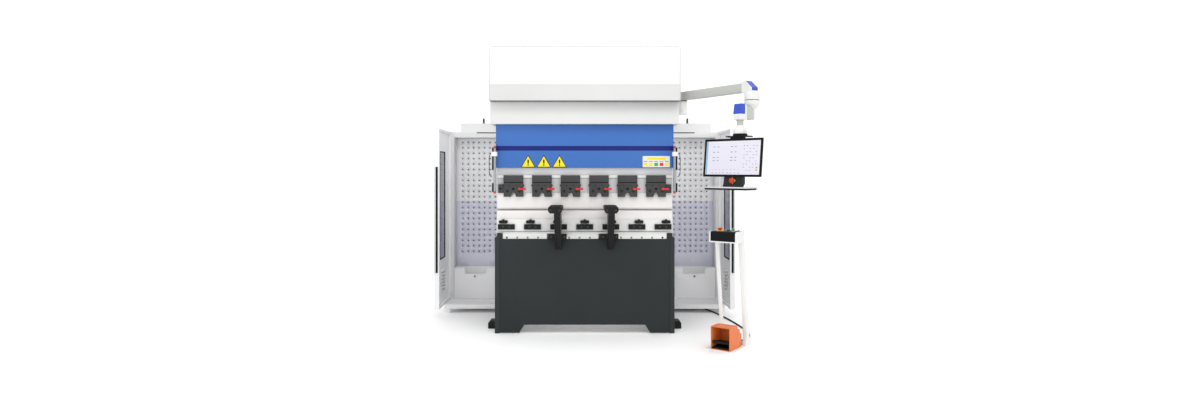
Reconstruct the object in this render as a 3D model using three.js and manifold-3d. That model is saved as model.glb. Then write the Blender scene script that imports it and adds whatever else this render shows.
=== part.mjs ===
// Press brake with two tool cabinets, a swivelling control pendant and a pedal stand.
// Millimetres, +Z up, +X to the operator's right, the operator stands at -Y.
// Pieces are placed from the machine's own zero: X on the centre plane, Y at the bed's
// front face and Z on the floor. The last lines move the origin to the base's centre.
import * as THREE from 'three';
import { mergeVertices } from 'three/addons/utils/BufferGeometryUtils.js';
import Module from 'manifold-3d';

const wasm = await Module();
wasm.setup();

// ---- driving dimensions ----
const GAP = 0.3; // clearance between pieces that touch
const SHEET = 4; // folded sheet of the covers

const FRAME_IN = 592; // inner face of each side frame
const FRAME_OUT = 625;
const FRAME_BACK = 850;
const FRAME_TOP = 1960;
const JAW_FRONT = 112; // front edge of the frame above the bed
const JAW_LOW = 800; // throat floor
const JAW_HIGH = 1150; // throat roof
const THROAT_BACK = 400;

const BED_TOP = 668;
const COVER_TOP = 656;
const COVER_THICK = 12;
const ARCH = { low: 455, high: 420, height: 60 };
const EAR = { inner: 571, outer: 610, top: 698, round: 12 };

const TABLE_HALF = 616;
const TABLE_FRONT = 56;
const TABLE_TOP = 790;
const DIE_TOP = 851;
const TOOL_Y = 83.5; // bending line
const VEE = 8; // half width and depth of the die's vee

const DIE_CLAMPS = { count: 7, pitch: 183, width: 118, low: 720, high: 756 };
const DIE_KNOBS = { pitch: 190, radius: 31, low: 762, high: 792 };

const RAM_FRONT = 66;
const RAM_BACK = 110;
const RAM_LOW = 973.3;
const RAM_TOP = 1520;
const RAM_COVER = { half: 624, front: 50, low: 1151, top: 1515 };

const CLAMPS = { count: 6, pitch: 200, width: 137, low: 948, mid: 1052, high: 1099, front: 28 };
const ARCH_R = 14; // round top of the notch under each clamp
const LEVER = { pivot: 45, reach: 46, height: 14, z: 1003 };
const GUARD = { inner: 620, outer: 645, low: 971, high: 1304, front: 6, back: 44 };

const HEAD_HALF = 658; // half width of hood and lower cover
const HEAD_BACK = 800;
const HOOD = { front: -70, low: 1613, top: 1988, chamfer: 25 };
const LOWER_COVER_Z = 1456;
const CYLINDER = { x: 450, y: 88, radius: 55, bore: 23, low: 1665, high: 1899.7, rod: 20 };

const RAIL = { half: 570, front: 5, low: 656.5, high: 702 };
const SUPPORT = { web: 41, head: 92, top: 892, headLow: 852, reach: -300 };
const SUPPORT_RIGHT = { x: 177, headX: 175 };
const SUPPORT_LEFT = { x: -181, headX: -194 };

const GAUGE = { half: 555, y: 600, depth: 70, low: 778.3, high: 830, guide: 740 };
const FINGER = { x: 260, width: 46, tip: 380, low: 848 };

const CABINET = { inner: 606, outer: 1107, front: 949, back: 1150, top: 1450, wall: 22 };
const CABINET_ROOF = 1406;
const TRAY = { inner: 628, outer: 1112, front: 694, low: 35, high: 69 };
const HEADER = { inner: 640, front: 960, back: 1140, top: 1523 };
const HEADER_RIGHT = { outer: 1050, eye: 864 };
const HEADER_LEFT = { outer: 1030, eye: 850 };
const EYE = { y: 1040, ring: 17, wire: 5.5 };
const PEGBOARD_Y = 1050;
const BIN = { inner: 630, outer: 1083, back: 1046, top: 325, notch: 275, notchIn: 814, notchOut: 996 };
const DOOR = { thick: 37.7, wide: 479.7, low: 72, top: 1452, rim: 20, skin: 18 };
const HANDLE = { low: 352, high: 1159, proud: 8 };

const SHOULDER = new THREE.Vector2(695, 110);
const ELBOW = new THREE.Vector2(1054, -459);
const WRIST = new THREE.Vector2(965, -524);
const ARM = { low: 1629, high: 1689, width: 44, hub: 33 };
const ELBOW_R = 48;
const ELBOW_SPLIT = 1573;
const MONITOR_YAW = -45; // degrees about +Z
const PANEL_X = -14; // the screen's middle, beside the swivel
const SCREEN = { half: 208, low: 1094, high: 1330, front: -68, back: -32, lean: 13 };
const TRAY_SHELF = { half: 150, front: -150, back: -16, low: 1014, high: 1032 };
const STOP_Z = 1071;

const STAND = { x: 921, y: -366, yaw: -36, half: 95, deep: 142, plate: 6 };
const STAND_BOX = { half: 93, front: -82, back: 48, low: 674, high: 746 };
const PEDAL_HOOD = { left: -53, right: 77, front: -142, back: 38, wall: 5 };
const BUTTON = { radius: 17, stem: 9, bore: 10, travel: 5 };

const CABLE_D = 11;
const CABLE_SIDES = 8;
const CABLE_STEPS = 72;

// ---- finishes ----
const paint = (color, roughness = 0.45, metalness = 0.1) =>
  new THREE.MeshStandardMaterial({ color, roughness, metalness });
const white = paint(0xf4f4f2);
const toolWhite = paint(0xedebe9, 0.35, 0.4);
const charcoal = paint(0x36393b, 0.5);
const blue = paint(0x4d79c8);
const clampGrey = paint(0x4a4a4a, 0.4, 0.5);
const leverRed = paint(0xd8342c, 0.4);
const nearBlack = paint(0x262626, 0.5);
const steel = paint(0xc9cbc8, 0.3, 0.9);
const pegGrey = paint(0xb9b9bd, 0.3, 0.3);
const armGrey = paint(0xb9bab4, 0.4, 0.3);
const orange = paint(0xdb7338, 0.5);
const rubberBlack = paint(0x101010, 0.7, 0);
const startGreen = paint(0x2f9e44, 0.4, 0);

// ---- shapes ----
function box(x0, x1, y0, y1, z0, z1) {
  const geometry = new THREE.BoxGeometry(x1 - x0, y1 - y0, z1 - z0);
  return geometry.translate((x0 + x1) / 2, (y0 + y1) / 2, (z0 + z1) / 2);
}

function extruded(outline, depth) {
  const shape = outline instanceof THREE.Shape
    ? outline
    : new THREE.Shape(outline.map(([a, b]) => new THREE.Vector2(a, b)));
  return new THREE.ExtrudeGeometry(shape, { depth, bevelEnabled: false, curveSegments: 8 });
}

// An outline of (y, z) points drawn out along X.
function alongX(outline, x0, x1) {
  const turn = new THREE.Matrix4().set(0, 0, 1, x0, 1, 0, 0, 0, 0, 1, 0, 0, 0, 0, 0, 1);
  return extruded(outline, x1 - x0).applyMatrix4(turn);
}

// An outline of (x, z) points drawn out along Y.
function alongY(outline, y0, y1) {
  const turn = new THREE.Matrix4().set(1, 0, 0, 0, 0, 0, -1, y1, 0, 1, 0, 0, 0, 0, 0, 1);
  return extruded(outline, y1 - y0).applyMatrix4(turn);
}

// An outline of (x, y) points drawn up along Z.
function alongZ(outline, z0, z1) {
  return extruded(outline, z1 - z0).translate(0, 0, z0);
}

// A solid of revolution about the vertical through (x, y), from (radius, z) points.
function turned(profile, x = 0, y = 0, sides = 24) {
  const points = profile.map(([r, z]) => new THREE.Vector2(r, z));
  return new THREE.LatheGeometry(points, sides).rotateX(Math.PI / 2).translate(x, y, 0);
}

function post(x, y, radius, z0, z1, sides = 24) {
  return turned([[0, z0], [radius, z0], [radius, z1], [0, z1]], x, y, sides);
}

function rodAlongY(x, z, radius, y0, y1, sides = 20) {
  return post(0, 0, radius, -y1, -y0, sides).rotateX(Math.PI / 2).translate(x, 0, z);
}

function rodAlongX(y, z, radius, x0, x1, sides = 20) {
  return post(0, 0, radius, x0, x1, sides).rotateY(Math.PI / 2).translate(0, y, z);
}

function bare(geometry) {
  const copy = geometry.clone();
  copy.deleteAttribute('normal');
  copy.deleteAttribute('uv');
  return mergeVertices(copy, 1e-4);
}

function toSolid(geometry) {
  const merged = bare(geometry);
  return new wasm.Manifold(new wasm.Mesh({
    numProp: 3,
    vertProperties: new Float32Array(merged.attributes.position.array),
    triVerts: new Uint32Array(merged.index.array),
  }));
}

function toGeometry(solid) {
  const mesh = solid.getMesh();
  const geometry = new THREE.BufferGeometry();
  geometry.setAttribute('position', new THREE.BufferAttribute(mesh.vertProperties, 3));
  geometry.setIndex(new THREE.BufferAttribute(mesh.triVerts, 1));
  geometry.computeVertexNormals();
  return geometry;
}

function joined(...shapes) {
  return toGeometry(shapes.map(toSolid).reduce((all, next) => all.add(next)));
}

function cut(shape, ...tools) {
  return toGeometry(tools.map(toSolid).reduce((left, tool) => left.subtract(tool), toSolid(shape)));
}

// The same shape on the other side of the centre plane, with its faces turned back out.
function mirrored(geometry) {
  const copy = bare(geometry).scale(-1, 1, 1);
  const index = copy.index.array;
  for (let i = 0; i < index.length; i += 3) {
    [index[i], index[i + 1]] = [index[i + 1], index[i]];
  }
  copy.computeVertexNormals();
  return copy;
}

const machine = new THREE.Group();

function add(name, geometry, material, parent = machine) {
  const mesh = new THREE.Mesh(geometry, material);
  mesh.name = name;
  parent.add(mesh);
}

function addPair(name, geometry, material) {
  add(`${name}_right`, geometry, material);
  add(`${name}_left`, mirrored(geometry), material);
}

// A group that stands at (x, y) on the floor and is turned about the vertical.
function standing(x, y, degrees) {
  const group = new THREE.Group();
  group.position.set(x, y, 0);
  group.rotation.z = THREE.MathUtils.degToRad(degrees);
  machine.add(group);
  return group;
}

// ---- frame and bed ----
function sideFrame() {
  const plate = alongX([
    [0, 0], [FRAME_BACK, 0], [FRAME_BACK, 1400], [HEAD_BACK - 10, 1450],
    [HEAD_BACK - 10, FRAME_TOP], [JAW_FRONT, FRAME_TOP],
    [JAW_FRONT, JAW_HIGH], [THROAT_BACK, JAW_HIGH], [THROAT_BACK, JAW_LOW],
    [JAW_FRONT, JAW_LOW], [JAW_FRONT, BED_TOP], [0, BED_TOP],
  ], FRAME_IN, FRAME_OUT);
  const guideTop = GAUGE.low - GAP;
  const guide = box(GAUGE.half - 5, FRAME_IN + 1, THROAT_BACK, FRAME_BACK - 10, GAUGE.guide, guideTop);
  return joined(plate, guide);
}

function bedFrontCover() {
  const side = FRAME_IN - GAP;
  const shape = new THREE.Shape();
  shape.moveTo(-side, 5);
  shape.lineTo(-ARCH.low, 5);
  shape.lineTo(-ARCH.high, ARCH.height);
  shape.lineTo(ARCH.high, ARCH.height);
  shape.lineTo(ARCH.low, 5);
  shape.lineTo(side, 5);
  shape.lineTo(side, BED_TOP + GAP);
  shape.lineTo(EAR.outer, BED_TOP + GAP);
  shape.lineTo(EAR.outer, EAR.top);
  shape.lineTo(EAR.inner + EAR.round, EAR.top);
  shape.absarc(EAR.inner + EAR.round, EAR.top - EAR.round, EAR.round, Math.PI / 2, Math.PI, false);
  shape.lineTo(EAR.inner, COVER_TOP);
  shape.lineTo(-EAR.inner, COVER_TOP);
  shape.absarc(-EAR.inner - EAR.round, EAR.top - EAR.round, EAR.round, 0, Math.PI / 2, false);
  shape.lineTo(-EAR.outer, EAR.top);
  shape.lineTo(-EAR.outer, BED_TOP + GAP);
  shape.lineTo(-side, BED_TOP + GAP);
  return alongY(shape, 0, COVER_THICK);
}

function tableBeam() {
  const inner = FRAME_IN - 2 * GAP;
  const outline = [
    [-inner, 250], [inner, 250], [inner, BED_TOP + GAP], [TABLE_HALF, BED_TOP + GAP],
    [TABLE_HALF, TABLE_TOP], [-TABLE_HALF, TABLE_TOP], [-TABLE_HALF, BED_TOP + GAP],
    [-inner, BED_TOP + GAP],
  ];
  return alongY(outline, TABLE_FRONT, JAW_FRONT - GAP);
}

function lowerDie() {
  const front = TABLE_FRONT;
  const back = 2 * TOOL_Y - front;
  return alongX([
    [front, TABLE_TOP + GAP], [back, TABLE_TOP + GAP], [back, DIE_TOP], [TOOL_Y + VEE, DIE_TOP],
    [TOOL_Y, DIE_TOP - VEE], [TOOL_Y - VEE, DIE_TOP], [front, DIE_TOP],
  ], -TABLE_HALF, TABLE_HALF);
}

// A row of clamp bars with a screw knob above each, on one strip against the table.
function dieClampBar() {
  const back = TABLE_FRONT - GAP;
  const parts = [box(-600, 600, 46, back, DIE_CLAMPS.low - 14, DIE_KNOBS.high)];
  for (let i = 0; i < DIE_CLAMPS.count; i += 1) {
    const place = i - (DIE_CLAMPS.count - 1) / 2;
    const x = place * DIE_CLAMPS.pitch;
    const half = DIE_CLAMPS.width / 2;
    parts.push(box(x - half, x + half, 34, 48, DIE_CLAMPS.low, DIE_CLAMPS.high));
    const knobX = place * DIE_KNOBS.pitch;
    const r = DIE_KNOBS.radius;
    parts.push(alongY([
      [knobX - r, DIE_KNOBS.low], [knobX + r, DIE_KNOBS.low], [knobX + r, DIE_KNOBS.low + 14],
      [knobX + r - 10, DIE_KNOBS.low + 21], [knobX + 7, DIE_KNOBS.low + 22],
      [knobX + 5, DIE_KNOBS.high], [knobX - 5, DIE_KNOBS.high], [knobX - 7, DIE_KNOBS.low + 22],
      [knobX - r + 10, DIE_KNOBS.low + 21], [knobX - r, DIE_KNOBS.low + 14],
    ], 30, 48));
  }
  return joined(...parts);
}

function anchorFoot() {
  const inner = FRAME_OUT + GAP;
  return alongY([[inner, 0], [692, 0], [692, 40], [678, 54], [inner, 54]], 145, 245);
}

add('bed_front_cover', bedFrontCover(), charcoal);
add('table_beam', tableBeam(), white);
add('lower_die', lowerDie(), toolWhite);
add('die_clamp_bar', dieClampBar(), clampGrey);
addPair('side_frame', sideFrame(), charcoal);
addPair('anchor_foot', anchorFoot(), nearBlack);

// ---- head: hood, lower cover, cross beam and ram cylinders ----
function hoodOutline(inset) {
  const side = HEAD_HALF - inset;
  const top = HOOD.top - inset;
  const low = HOOD.low - inset;
  return [
    [-side, low], [side, low], [side, top - HOOD.chamfer], [side - HOOD.chamfer, top],
    [-side + HOOD.chamfer, top], [-side, top - HOOD.chamfer],
  ];
}

function hood() {
  const outer = alongY(hoodOutline(0), HOOD.front, HEAD_BACK);
  const hollow = alongY(hoodOutline(SHEET), HOOD.front + SHEET, HEAD_BACK - SHEET);
  const underLip = box(-HEAD_HALF + 1, HEAD_HALF - 1, HOOD.front + 1, -GAP, HOOD.low, HOOD.low + SHEET);
  return joined(cut(outer, hollow), underLip);
}

function lowerCover() {
  const top = HOOD.low - GAP;
  const inner = HEAD_HALF - SHEET;
  const shell = cut(
    box(-HEAD_HALF, HEAD_HALF, 0, HEAD_BACK, LOWER_COVER_Z, top),
    box(-inner, inner, SHEET, HEAD_BACK + 1, LOWER_COVER_Z - 1, top + 1),
  );
  const lipTop = LOWER_COVER_Z + SHEET;
  return joined(
    shell,
    box(-inner - 1, inner + 1, 1, 46, LOWER_COVER_Z, lipTop),
    box(630, inner + 1, 1, 108, LOWER_COVER_Z, lipTop),
    box(-inner - 1, -630, 1, 108, LOWER_COVER_Z, lipTop),
  );
}

function ramCylinder() {
  const { radius, bore, low, high } = CYLINDER;
  const profile = [
    [bore, low], [radius, low], [radius, low + 24], [radius - 6, low + 30], [radius - 6, high - 24],
    [radius, high - 18], [radius, high], [0, high], [0, high - 14], [bore, high - 14],
    [bore, low],
  ];
  return turned(profile, CYLINDER.x, CYLINDER.y, 28);
}

const beamHalf = FRAME_IN - GAP;
add('hood', hood(), white);
add('lower_cover', lowerCover(), white);
add('top_cross_beam', box(-beamHalf, beamHalf, 20, 300, CYLINDER.high + GAP, FRAME_TOP), white);
addPair('ram_cylinder', ramCylinder(), armGrey);
addPair('piston_rod', post(CYLINDER.x, CYLINDER.y, CYLINDER.rod, RAM_TOP + GAP, 1740, 20), steel);

// ---- ram, punch and its clamps ----
function punch() {
  const front = RAM_FRONT;
  const back = 2 * TOOL_Y - front;
  const top = RAM_LOW - GAP;
  return alongX([
    [front, top], [front, DIE_TOP + 20], [TOOL_Y - 1, DIE_TOP + 1], [TOOL_Y + 1, DIE_TOP + 1],
    [back - 6, DIE_TOP + 20], [back - 6, top],
  ], -TABLE_HALF, TABLE_HALF);
}

function punchClamp(x) {
  const half = CLAMPS.width / 2;
  const back = RAM_FRONT - GAP;
  const outline = new THREE.Shape();
  outline.moveTo(x - half, CLAMPS.low);
  outline.lineTo(x - 19, CLAMPS.low);
  outline.lineTo(x - ARCH_R, CLAMPS.low + 15);
  outline.absarc(x, CLAMPS.low + 15, ARCH_R, Math.PI, 0, true);
  outline.lineTo(x + 19, CLAMPS.low);
  outline.lineTo(x + half, CLAMPS.low);
  outline.lineTo(x + half, CLAMPS.mid + 1);
  outline.lineTo(x - half, CLAMPS.mid + 1);
  const plate = alongY(outline, CLAMPS.front + 8, back);
  const block = box(x - half, x + half, CLAMPS.front, back, CLAMPS.mid, CLAMPS.high);
  const screwBoss = rodAlongY(x + LEVER.pivot, LEVER.z, 11, CLAMPS.front + 2, CLAMPS.front + 10, 16);
  return joined(plate, block, screwBoss);
}

function clampLever(x) {
  const pivot = x + LEVER.pivot;
  const half = LEVER.height / 2;
  const tip = pivot + LEVER.reach;
  const back = CLAMPS.front + 2 - GAP;
  const handle = alongY([
    [pivot, LEVER.z - 5], [tip - 8, LEVER.z - half], [tip, LEVER.z - half + 4],
    [tip, LEVER.z + half - 4], [tip - 8, LEVER.z + half], [pivot, LEVER.z + 5],
  ], back - 12, back - 2);
  return joined(rodAlongY(pivot, LEVER.z, half + 2, back - 13, back, 16), handle);
}

function lightGuard() {
  const post = box(GUARD.inner, GUARD.outer, GUARD.front, GUARD.back, GUARD.low, GUARD.high);
  const bracket = box(613, HEAD_HALF, 2, RAM_COVER.front - GAP, 1232, 1263);
  return joined(post, bracket);
}

add('ram_beam', box(-TABLE_HALF, TABLE_HALF, RAM_FRONT, RAM_BACK, RAM_LOW, RAM_TOP), white);
const coverHalf = RAM_COVER.half;
const coverBack = RAM_FRONT - GAP;
const ramCover = box(-coverHalf, coverHalf, RAM_COVER.front, coverBack, RAM_COVER.low, RAM_COVER.top);
add('ram_front_cover', ramCover, blue);
add('punch', punch(), toolWhite);
for (let i = 0; i < CLAMPS.count; i += 1) {
  const x = (i - (CLAMPS.count - 1) / 2) * CLAMPS.pitch;
  add(`punch_clamp_${i + 1}`, punchClamp(x), clampGrey);
  add(`clamp_lever_${i + 1}`, clampLever(x), leverRed);
}
addPair('light_guard', lightGuard(), nearBlack);

// ---- front sheet supports on their rail ----
function supportRail() {
  const { half, front, low, high } = RAIL;
  const back = TABLE_FRONT - GAP;
  return alongX([
    [front, low], [back, low], [back, high], [front + 14, high], [front + 14, high - 9],
    [front, high - 9],
  ], -half, half);
}

// A web on a foot, with a flat head that can sit to one side of the web.
function frontSupport({ x, headX }) {
  const half = SUPPORT.web / 2;
  const headHalf = SUPPORT.head / 2;
  const { reach, top, headLow } = SUPPORT;
  const back = RAIL.front - GAP;
  const web = alongX([
    [reach, headLow + 1], [reach, headLow - 18], [-62, 590], [back - 6, 590], [back - 6, headLow + 1],
  ], x - half, x + half);
  const head = alongY([
    [headX - headHalf, headLow + 14], [headX - headHalf + 12, headLow], [headX + headHalf - 12, headLow],
    [headX + headHalf, headLow + 14], [headX + headHalf, top - 3], [headX + headHalf - 3, top],
    [headX - headHalf + 3, top], [headX - headHalf, top - 3],
  ], reach, 22);
  const foot = alongZ([
    [x - 82, back], [x - 66, -40], [x + 56, -40], [x + 56, back],
  ], RAIL.low + GAP, 694);
  return joined(web, head, foot);
}

add('support_rail', supportRail(), steel);
add('front_support_right', frontSupport(SUPPORT_RIGHT), nearBlack);
add('front_support_left', frontSupport(SUPPORT_LEFT), nearBlack);

// ---- back gauge ----
function gaugeFinger() {
  const { x, width, tip, low } = FINGER;
  const front = GAUGE.y - 30;
  return alongX([
    [tip, low + 4], [tip + 12, low - 6], [front, GAUGE.high + GAP], [GAUGE.y + 30, GAUGE.high + GAP],
    [GAUGE.y + 30, low + 24], [tip, low + 24],
  ], x - width / 2, x + width / 2);
}

function gaugeBeam() {
  const half = GAUGE.half + 30;
  const deep = GAUGE.depth / 2;
  return box(-half, half, GAUGE.y - deep, GAUGE.y + deep, GAUGE.low, GAUGE.high);
}

add('gauge_beam', gaugeBeam(), steel);
addPair('gauge_finger', gaugeFinger(), clampGrey);

// ---- tool cabinets ----
// The lifting eye's ring stands across the cabinet, so its hole faces the machine.
function toolCabinet({ outer: headerOuter, eye }) {
  const { inner, outer, front, back, top, wall } = CABINET;
  const shell = cut(
    box(inner, outer, front, back, TRAY.low, top),
    box(inner + wall, outer - wall, front - 1, back - SHEET, TRAY.high, CABINET_ROOF),
  );
  const feet = [660, 1080].flatMap((x) => [730, 1120].map((y) => post(x, y, 20, 0, TRAY.low + 2, 16)));
  const ring = new THREE.TorusGeometry(EYE.ring, EYE.wire, 8, 20)
    .rotateY(Math.PI / 2)
    .translate(eye, EYE.y, HEADER.top + EYE.ring + EYE.wire + 4);
  return joined(
    shell,
    box(TRAY.inner, TRAY.outer, TRAY.front, back, TRAY.low, TRAY.high),
    box(HEADER.inner, headerOuter, HEADER.front, HEADER.back, top - 1, HEADER.top),
    post(eye, EYE.y, 9, HEADER.top - 1, HEADER.top + 8, 12),
    ring,
    ...feet,
  );
}

function pegboard() {
  const inner = CABINET.inner + CABINET.wall + GAP;
  const outer = CABINET.outer - CABINET.wall - GAP;
  return box(inner, outer, PEGBOARD_Y, PEGBOARD_Y + SHEET, TRAY.high + GAP, CABINET_ROOF - GAP);
}

function cabinetBin() {
  const { inner, outer, back, top, notch, notchIn, notchOut } = BIN;
  const front = CABINET.front + 1;
  const low = TRAY.high + GAP;
  const corner = 14;
  const notchTool = alongY([
    [notchIn, top + 1], [notchIn, notch + corner], [notchIn + corner / 3, notch + corner / 3],
    [notchIn + corner, notch], [notchOut - corner, notch],
    [notchOut - corner / 3, notch + corner / 3], [notchOut, notch + corner], [notchOut, top + 1],
  ], front - 1, front + SHEET + 1);
  return cut(
    box(inner, outer, front, back, low, top),
    box(inner + SHEET, outer - SHEET, front + SHEET, back - SHEET, low + SHEET, top + 1),
    notchTool,
  );
}

// Open by a quarter turn: the inner side faces the machine and holds a shallow recess.
function cabinetDoor() {
  const inner = CABINET.outer + GAP;
  const outer = inner + DOOR.thick;
  const back = CABINET.front - GAP;
  const front = back - DOOR.wide;
  const { low, top, rim, skin } = DOOR;
  const leaf = cut(
    box(inner, outer, front, back, low, top),
    box(inner - 1, inner + skin, front + rim, back - rim, low + rim, top - rim),
  );
  const handle = box(inner + 12, outer, front - HANDLE.proud, front + 1, HANDLE.low, HANDLE.high);
  return joined(leaf, handle);
}

add('tool_cabinet_right', toolCabinet(HEADER_RIGHT), white);
add('tool_cabinet_left', mirrored(toolCabinet(HEADER_LEFT)), white);
addPair('pegboard', pegboard(), pegGrey);
addPair('cabinet_bin', cabinetBin(), white);
addPair('cabinet_door', cabinetDoor(), white);

// ---- control pendant ----
function pendantBracket() {
  const boss = post(SHOULDER.x, SHOULDER.y, ARM.hub - 1, 1530, ARM.low - GAP, 24);
  const plate = box(HEAD_HALF + GAP, HEAD_HALF + 8, 66, 154, 1522, 1610);
  const web = box(HEAD_HALF + 6, SHOULDER.x, 90, 130, 1540, 1608);
  return joined(boss, plate, web);
}

// Along local +X from the shoulder to the elbow.
function pendantArm(length) {
  const half = ARM.width / 2;
  const elbow = turned([
    [0, ELBOW_SPLIT], [ELBOW_R, ELBOW_SPLIT], [ELBOW_R, 1640], [ELBOW_R - 8, 1655], [0, 1655],
  ], length, 0, 28);
  return joined(
    post(0, 0, ARM.hub, ARM.low, ARM.high, 24),
    box(0, length, -half, half, ARM.low, ARM.high),
    alongY([
      [length - 62, 1624], [length + 24, 1624], [length + 24, 1655], [length - 28, 1700],
      [length - 62, 1700],
    ], -32, 32),
    elbow,
  );
}

// Along local +X from the elbow to the wrist.
function pendantLink(length) {
  const bowl = turned([
    [0, 1516], [22, 1520], [38, 1535], [ELBOW_R, 1553], [ELBOW_R, ELBOW_SPLIT - GAP],
    [0, ELBOW_SPLIT - GAP],
  ], 0, 0, 28);
  const bar = alongY([
    [-18, 1525], [-16, 1451], [length - 20, 1451], [length - 20, 1536], [20, 1536],
  ], -20, 20);
  return joined(
    bowl,
    bar,
    box(length - 32, length + 30, -30, 30, 1447, 1547),
    post(length, 0, 20, 1413 + GAP, 1448, 20),
  );
}

// Hangs from the wrist, with the screen facing local -Y and leaning back.
function monitor() {
  const { half, low, high, front, back, lean } = SCREEN;
  const bell = turned([
    [0, 1345], [41, 1345], [41, 1378], [34, 1396], [22, 1413], [0, 1413],
  ], 0, 0, 28);
  const screen = alongX([
    [front - lean, low], [back - lean, low], [back + lean, high], [front + lean, high],
  ], PANEL_X - half, PANEL_X + half);
  const stopPanel = alongY([
    [-72, 1030], [58, 1030], [72, 1052], [72, 1100], [-60, 1100], [-66, 1060],
  ], -64, -36).translate(PANEL_X, 0, 0);
  const shelf = TRAY_SHELF;
  const body = joined(
    bell,
    box(-77, 77, -52, 30, 1339, 1360),
    box(-45, 45, -44, -6, high - 60, 1345),
    screen,
    stopPanel,
    box(PANEL_X - shelf.half, PANEL_X + shelf.half, shelf.front, shelf.back, shelf.low, shelf.high),
  );
  return cut(body, rodAlongY(PANEL_X, STOP_Z, BUTTON.bore, -66, -64 + BUTTON.travel + 6, 20));
}

// Mushroom button along local -Y, its stem in the panel's bore.
function sideStopButton(x, z, panel) {
  const { radius, stem, travel } = BUTTON;
  const back = panel - travel - 1;
  return joined(
    rodAlongY(x, z, radius, back - 12, back, 20),
    rodAlongY(x, z, stem, back - 1, panel + 4, 16),
  );
}

const armReach = ELBOW.clone().sub(SHOULDER);
const linkReach = WRIST.clone().sub(ELBOW);
const degreesOf = (vector) => THREE.MathUtils.radToDeg(vector.angle());
add('pendant_bracket', pendantBracket(), white);
const armGroup = standing(SHOULDER.x, SHOULDER.y, degreesOf(armReach));
add('pendant_arm', pendantArm(armReach.length()), armGrey, armGroup);
const linkGroup = standing(ELBOW.x, ELBOW.y, degreesOf(linkReach));
add('pendant_link', pendantLink(linkReach.length()), white, linkGroup);
const monitorGroup = standing(WRIST.x, WRIST.y, MONITOR_YAW);
add('monitor', monitor(), nearBlack, monitorGroup);
add('pendant_stop_button', sideStopButton(PANEL_X, STOP_Z, -64), leverRed, monitorGroup);

// ---- pedal stand ----
function standLeg(side) {
  const outer = side * STAND_BOX.half;
  const spans = (a, b) => [Math.min(a, b), Math.max(a, b)];
  const sheet = alongX([
    [64, STAND.plate - 1], [STAND.deep, STAND.plate - 1], [130, 40], [48, STAND_BOX.low - GAP],
    [4, STAND_BOX.low - GAP], [84, 60],
  ], ...spans(outer, outer - side * 5));
  const flange = alongX([
    [64, STAND.plate - 1], [70, STAND.plate - 1], [90, 60], [10, STAND_BOX.low - GAP],
    [4, STAND_BOX.low - GAP], [84, 60],
  ], ...spans(outer, outer - side * 26));
  return [sheet, flange];
}

function pedalStand() {
  const { half, deep, plate } = STAND;
  return joined(box(-half, half, -deep, deep, 0, plate), ...standLeg(1), ...standLeg(-1));
}

function standBox() {
  const { half, front, back, low, high } = STAND_BOX;
  return cut(
    alongX([[front, low], [back, low], [back, high], [front + 10, high], [front, high - 8]], -half, half),
    box(-half + 8, half - 8, front - 1, front + 5, low + 9, high - 9),
    post(-46, -18, BUTTON.bore, high - BUTTON.travel - 6, high + 1, 20),
    post(44, -18, 6, high - BUTTON.travel - 6, high + 1, 16),
  );
}

function topButton(x, y, radius, stem) {
  const { high } = STAND_BOX;
  const low = high + BUTTON.travel + 1;
  return turned([
    [0, high - 4], [stem, high - 4], [stem, low], [radius, low], [radius, low + 9], [radius - 4, low + 13],
    [0, low + 13],
  ], x, y, 20);
}

function pedalHood() {
  const { left, right, front, back, wall } = PEDAL_HOOD;
  const floor = STAND.plate + GAP;
  const outer = alongX([
    [front, floor], [back, floor], [back, 88], [back - 22, 94], [back - 32, 122], [back - 54, 126],
    [back - 70, 151], [front, 151],
  ], left, right);
  const hollow = alongX([
    [front - 1, floor + wall], [back - 12, floor + wall], [back - 26, 88], [back - 60, 120],
    [back - 76, 151 - wall], [front - 1, 151 - wall],
  ], left + wall, right - wall);
  return cut(outer, hollow);
}

function footPedal() {
  const left = PEDAL_HOOD.left + PEDAL_HOOD.wall + 3;
  const right = PEDAL_HOOD.right - PEDAL_HOOD.wall - 3;
  return alongX([
    [-134, 46], [-10, 22], [6, 22], [6, 36], [-10, 38], [-128, 60], [-134, 58],
  ], left, right);
}

const standGroup = standing(STAND.x, STAND.y, STAND.yaw);
add('pedal_stand', pedalStand(), white, standGroup);
add('stand_box', standBox(), white, standGroup);
add('stand_stop_button', topButton(-46, -18, BUTTON.radius, BUTTON.stem), leverRed, standGroup);
add('stand_start_button', topButton(44, -18, 9, 5), startGreen, standGroup);
add('pedal_hood', pedalHood(), orange, standGroup);
add('foot_pedal', footPedal(), rubberBlack, standGroup);
const glandY = PEDAL_HOOD.back + GAP;
const pedalGland = joined(
  rodAlongY(20, 30, 15, glandY, glandY + 9, 6),
  rodAlongY(20, 30, 11, glandY + 8, glandY + 24, 16),
);
add('pedal_gland', pedalGland, rubberBlack, standGroup);

// ---- pedal cable, along the floor and in under the right cabinet ----
const machineGland = joined(
  rodAlongX(800, 18, 15, FRAME_OUT + GAP, FRAME_OUT + 9, 6),
  rodAlongX(800, 18, 11, FRAME_OUT + 8, FRAME_OUT + 24, 16),
);
add('machine_gland', machineGland, rubberBlack);

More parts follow.
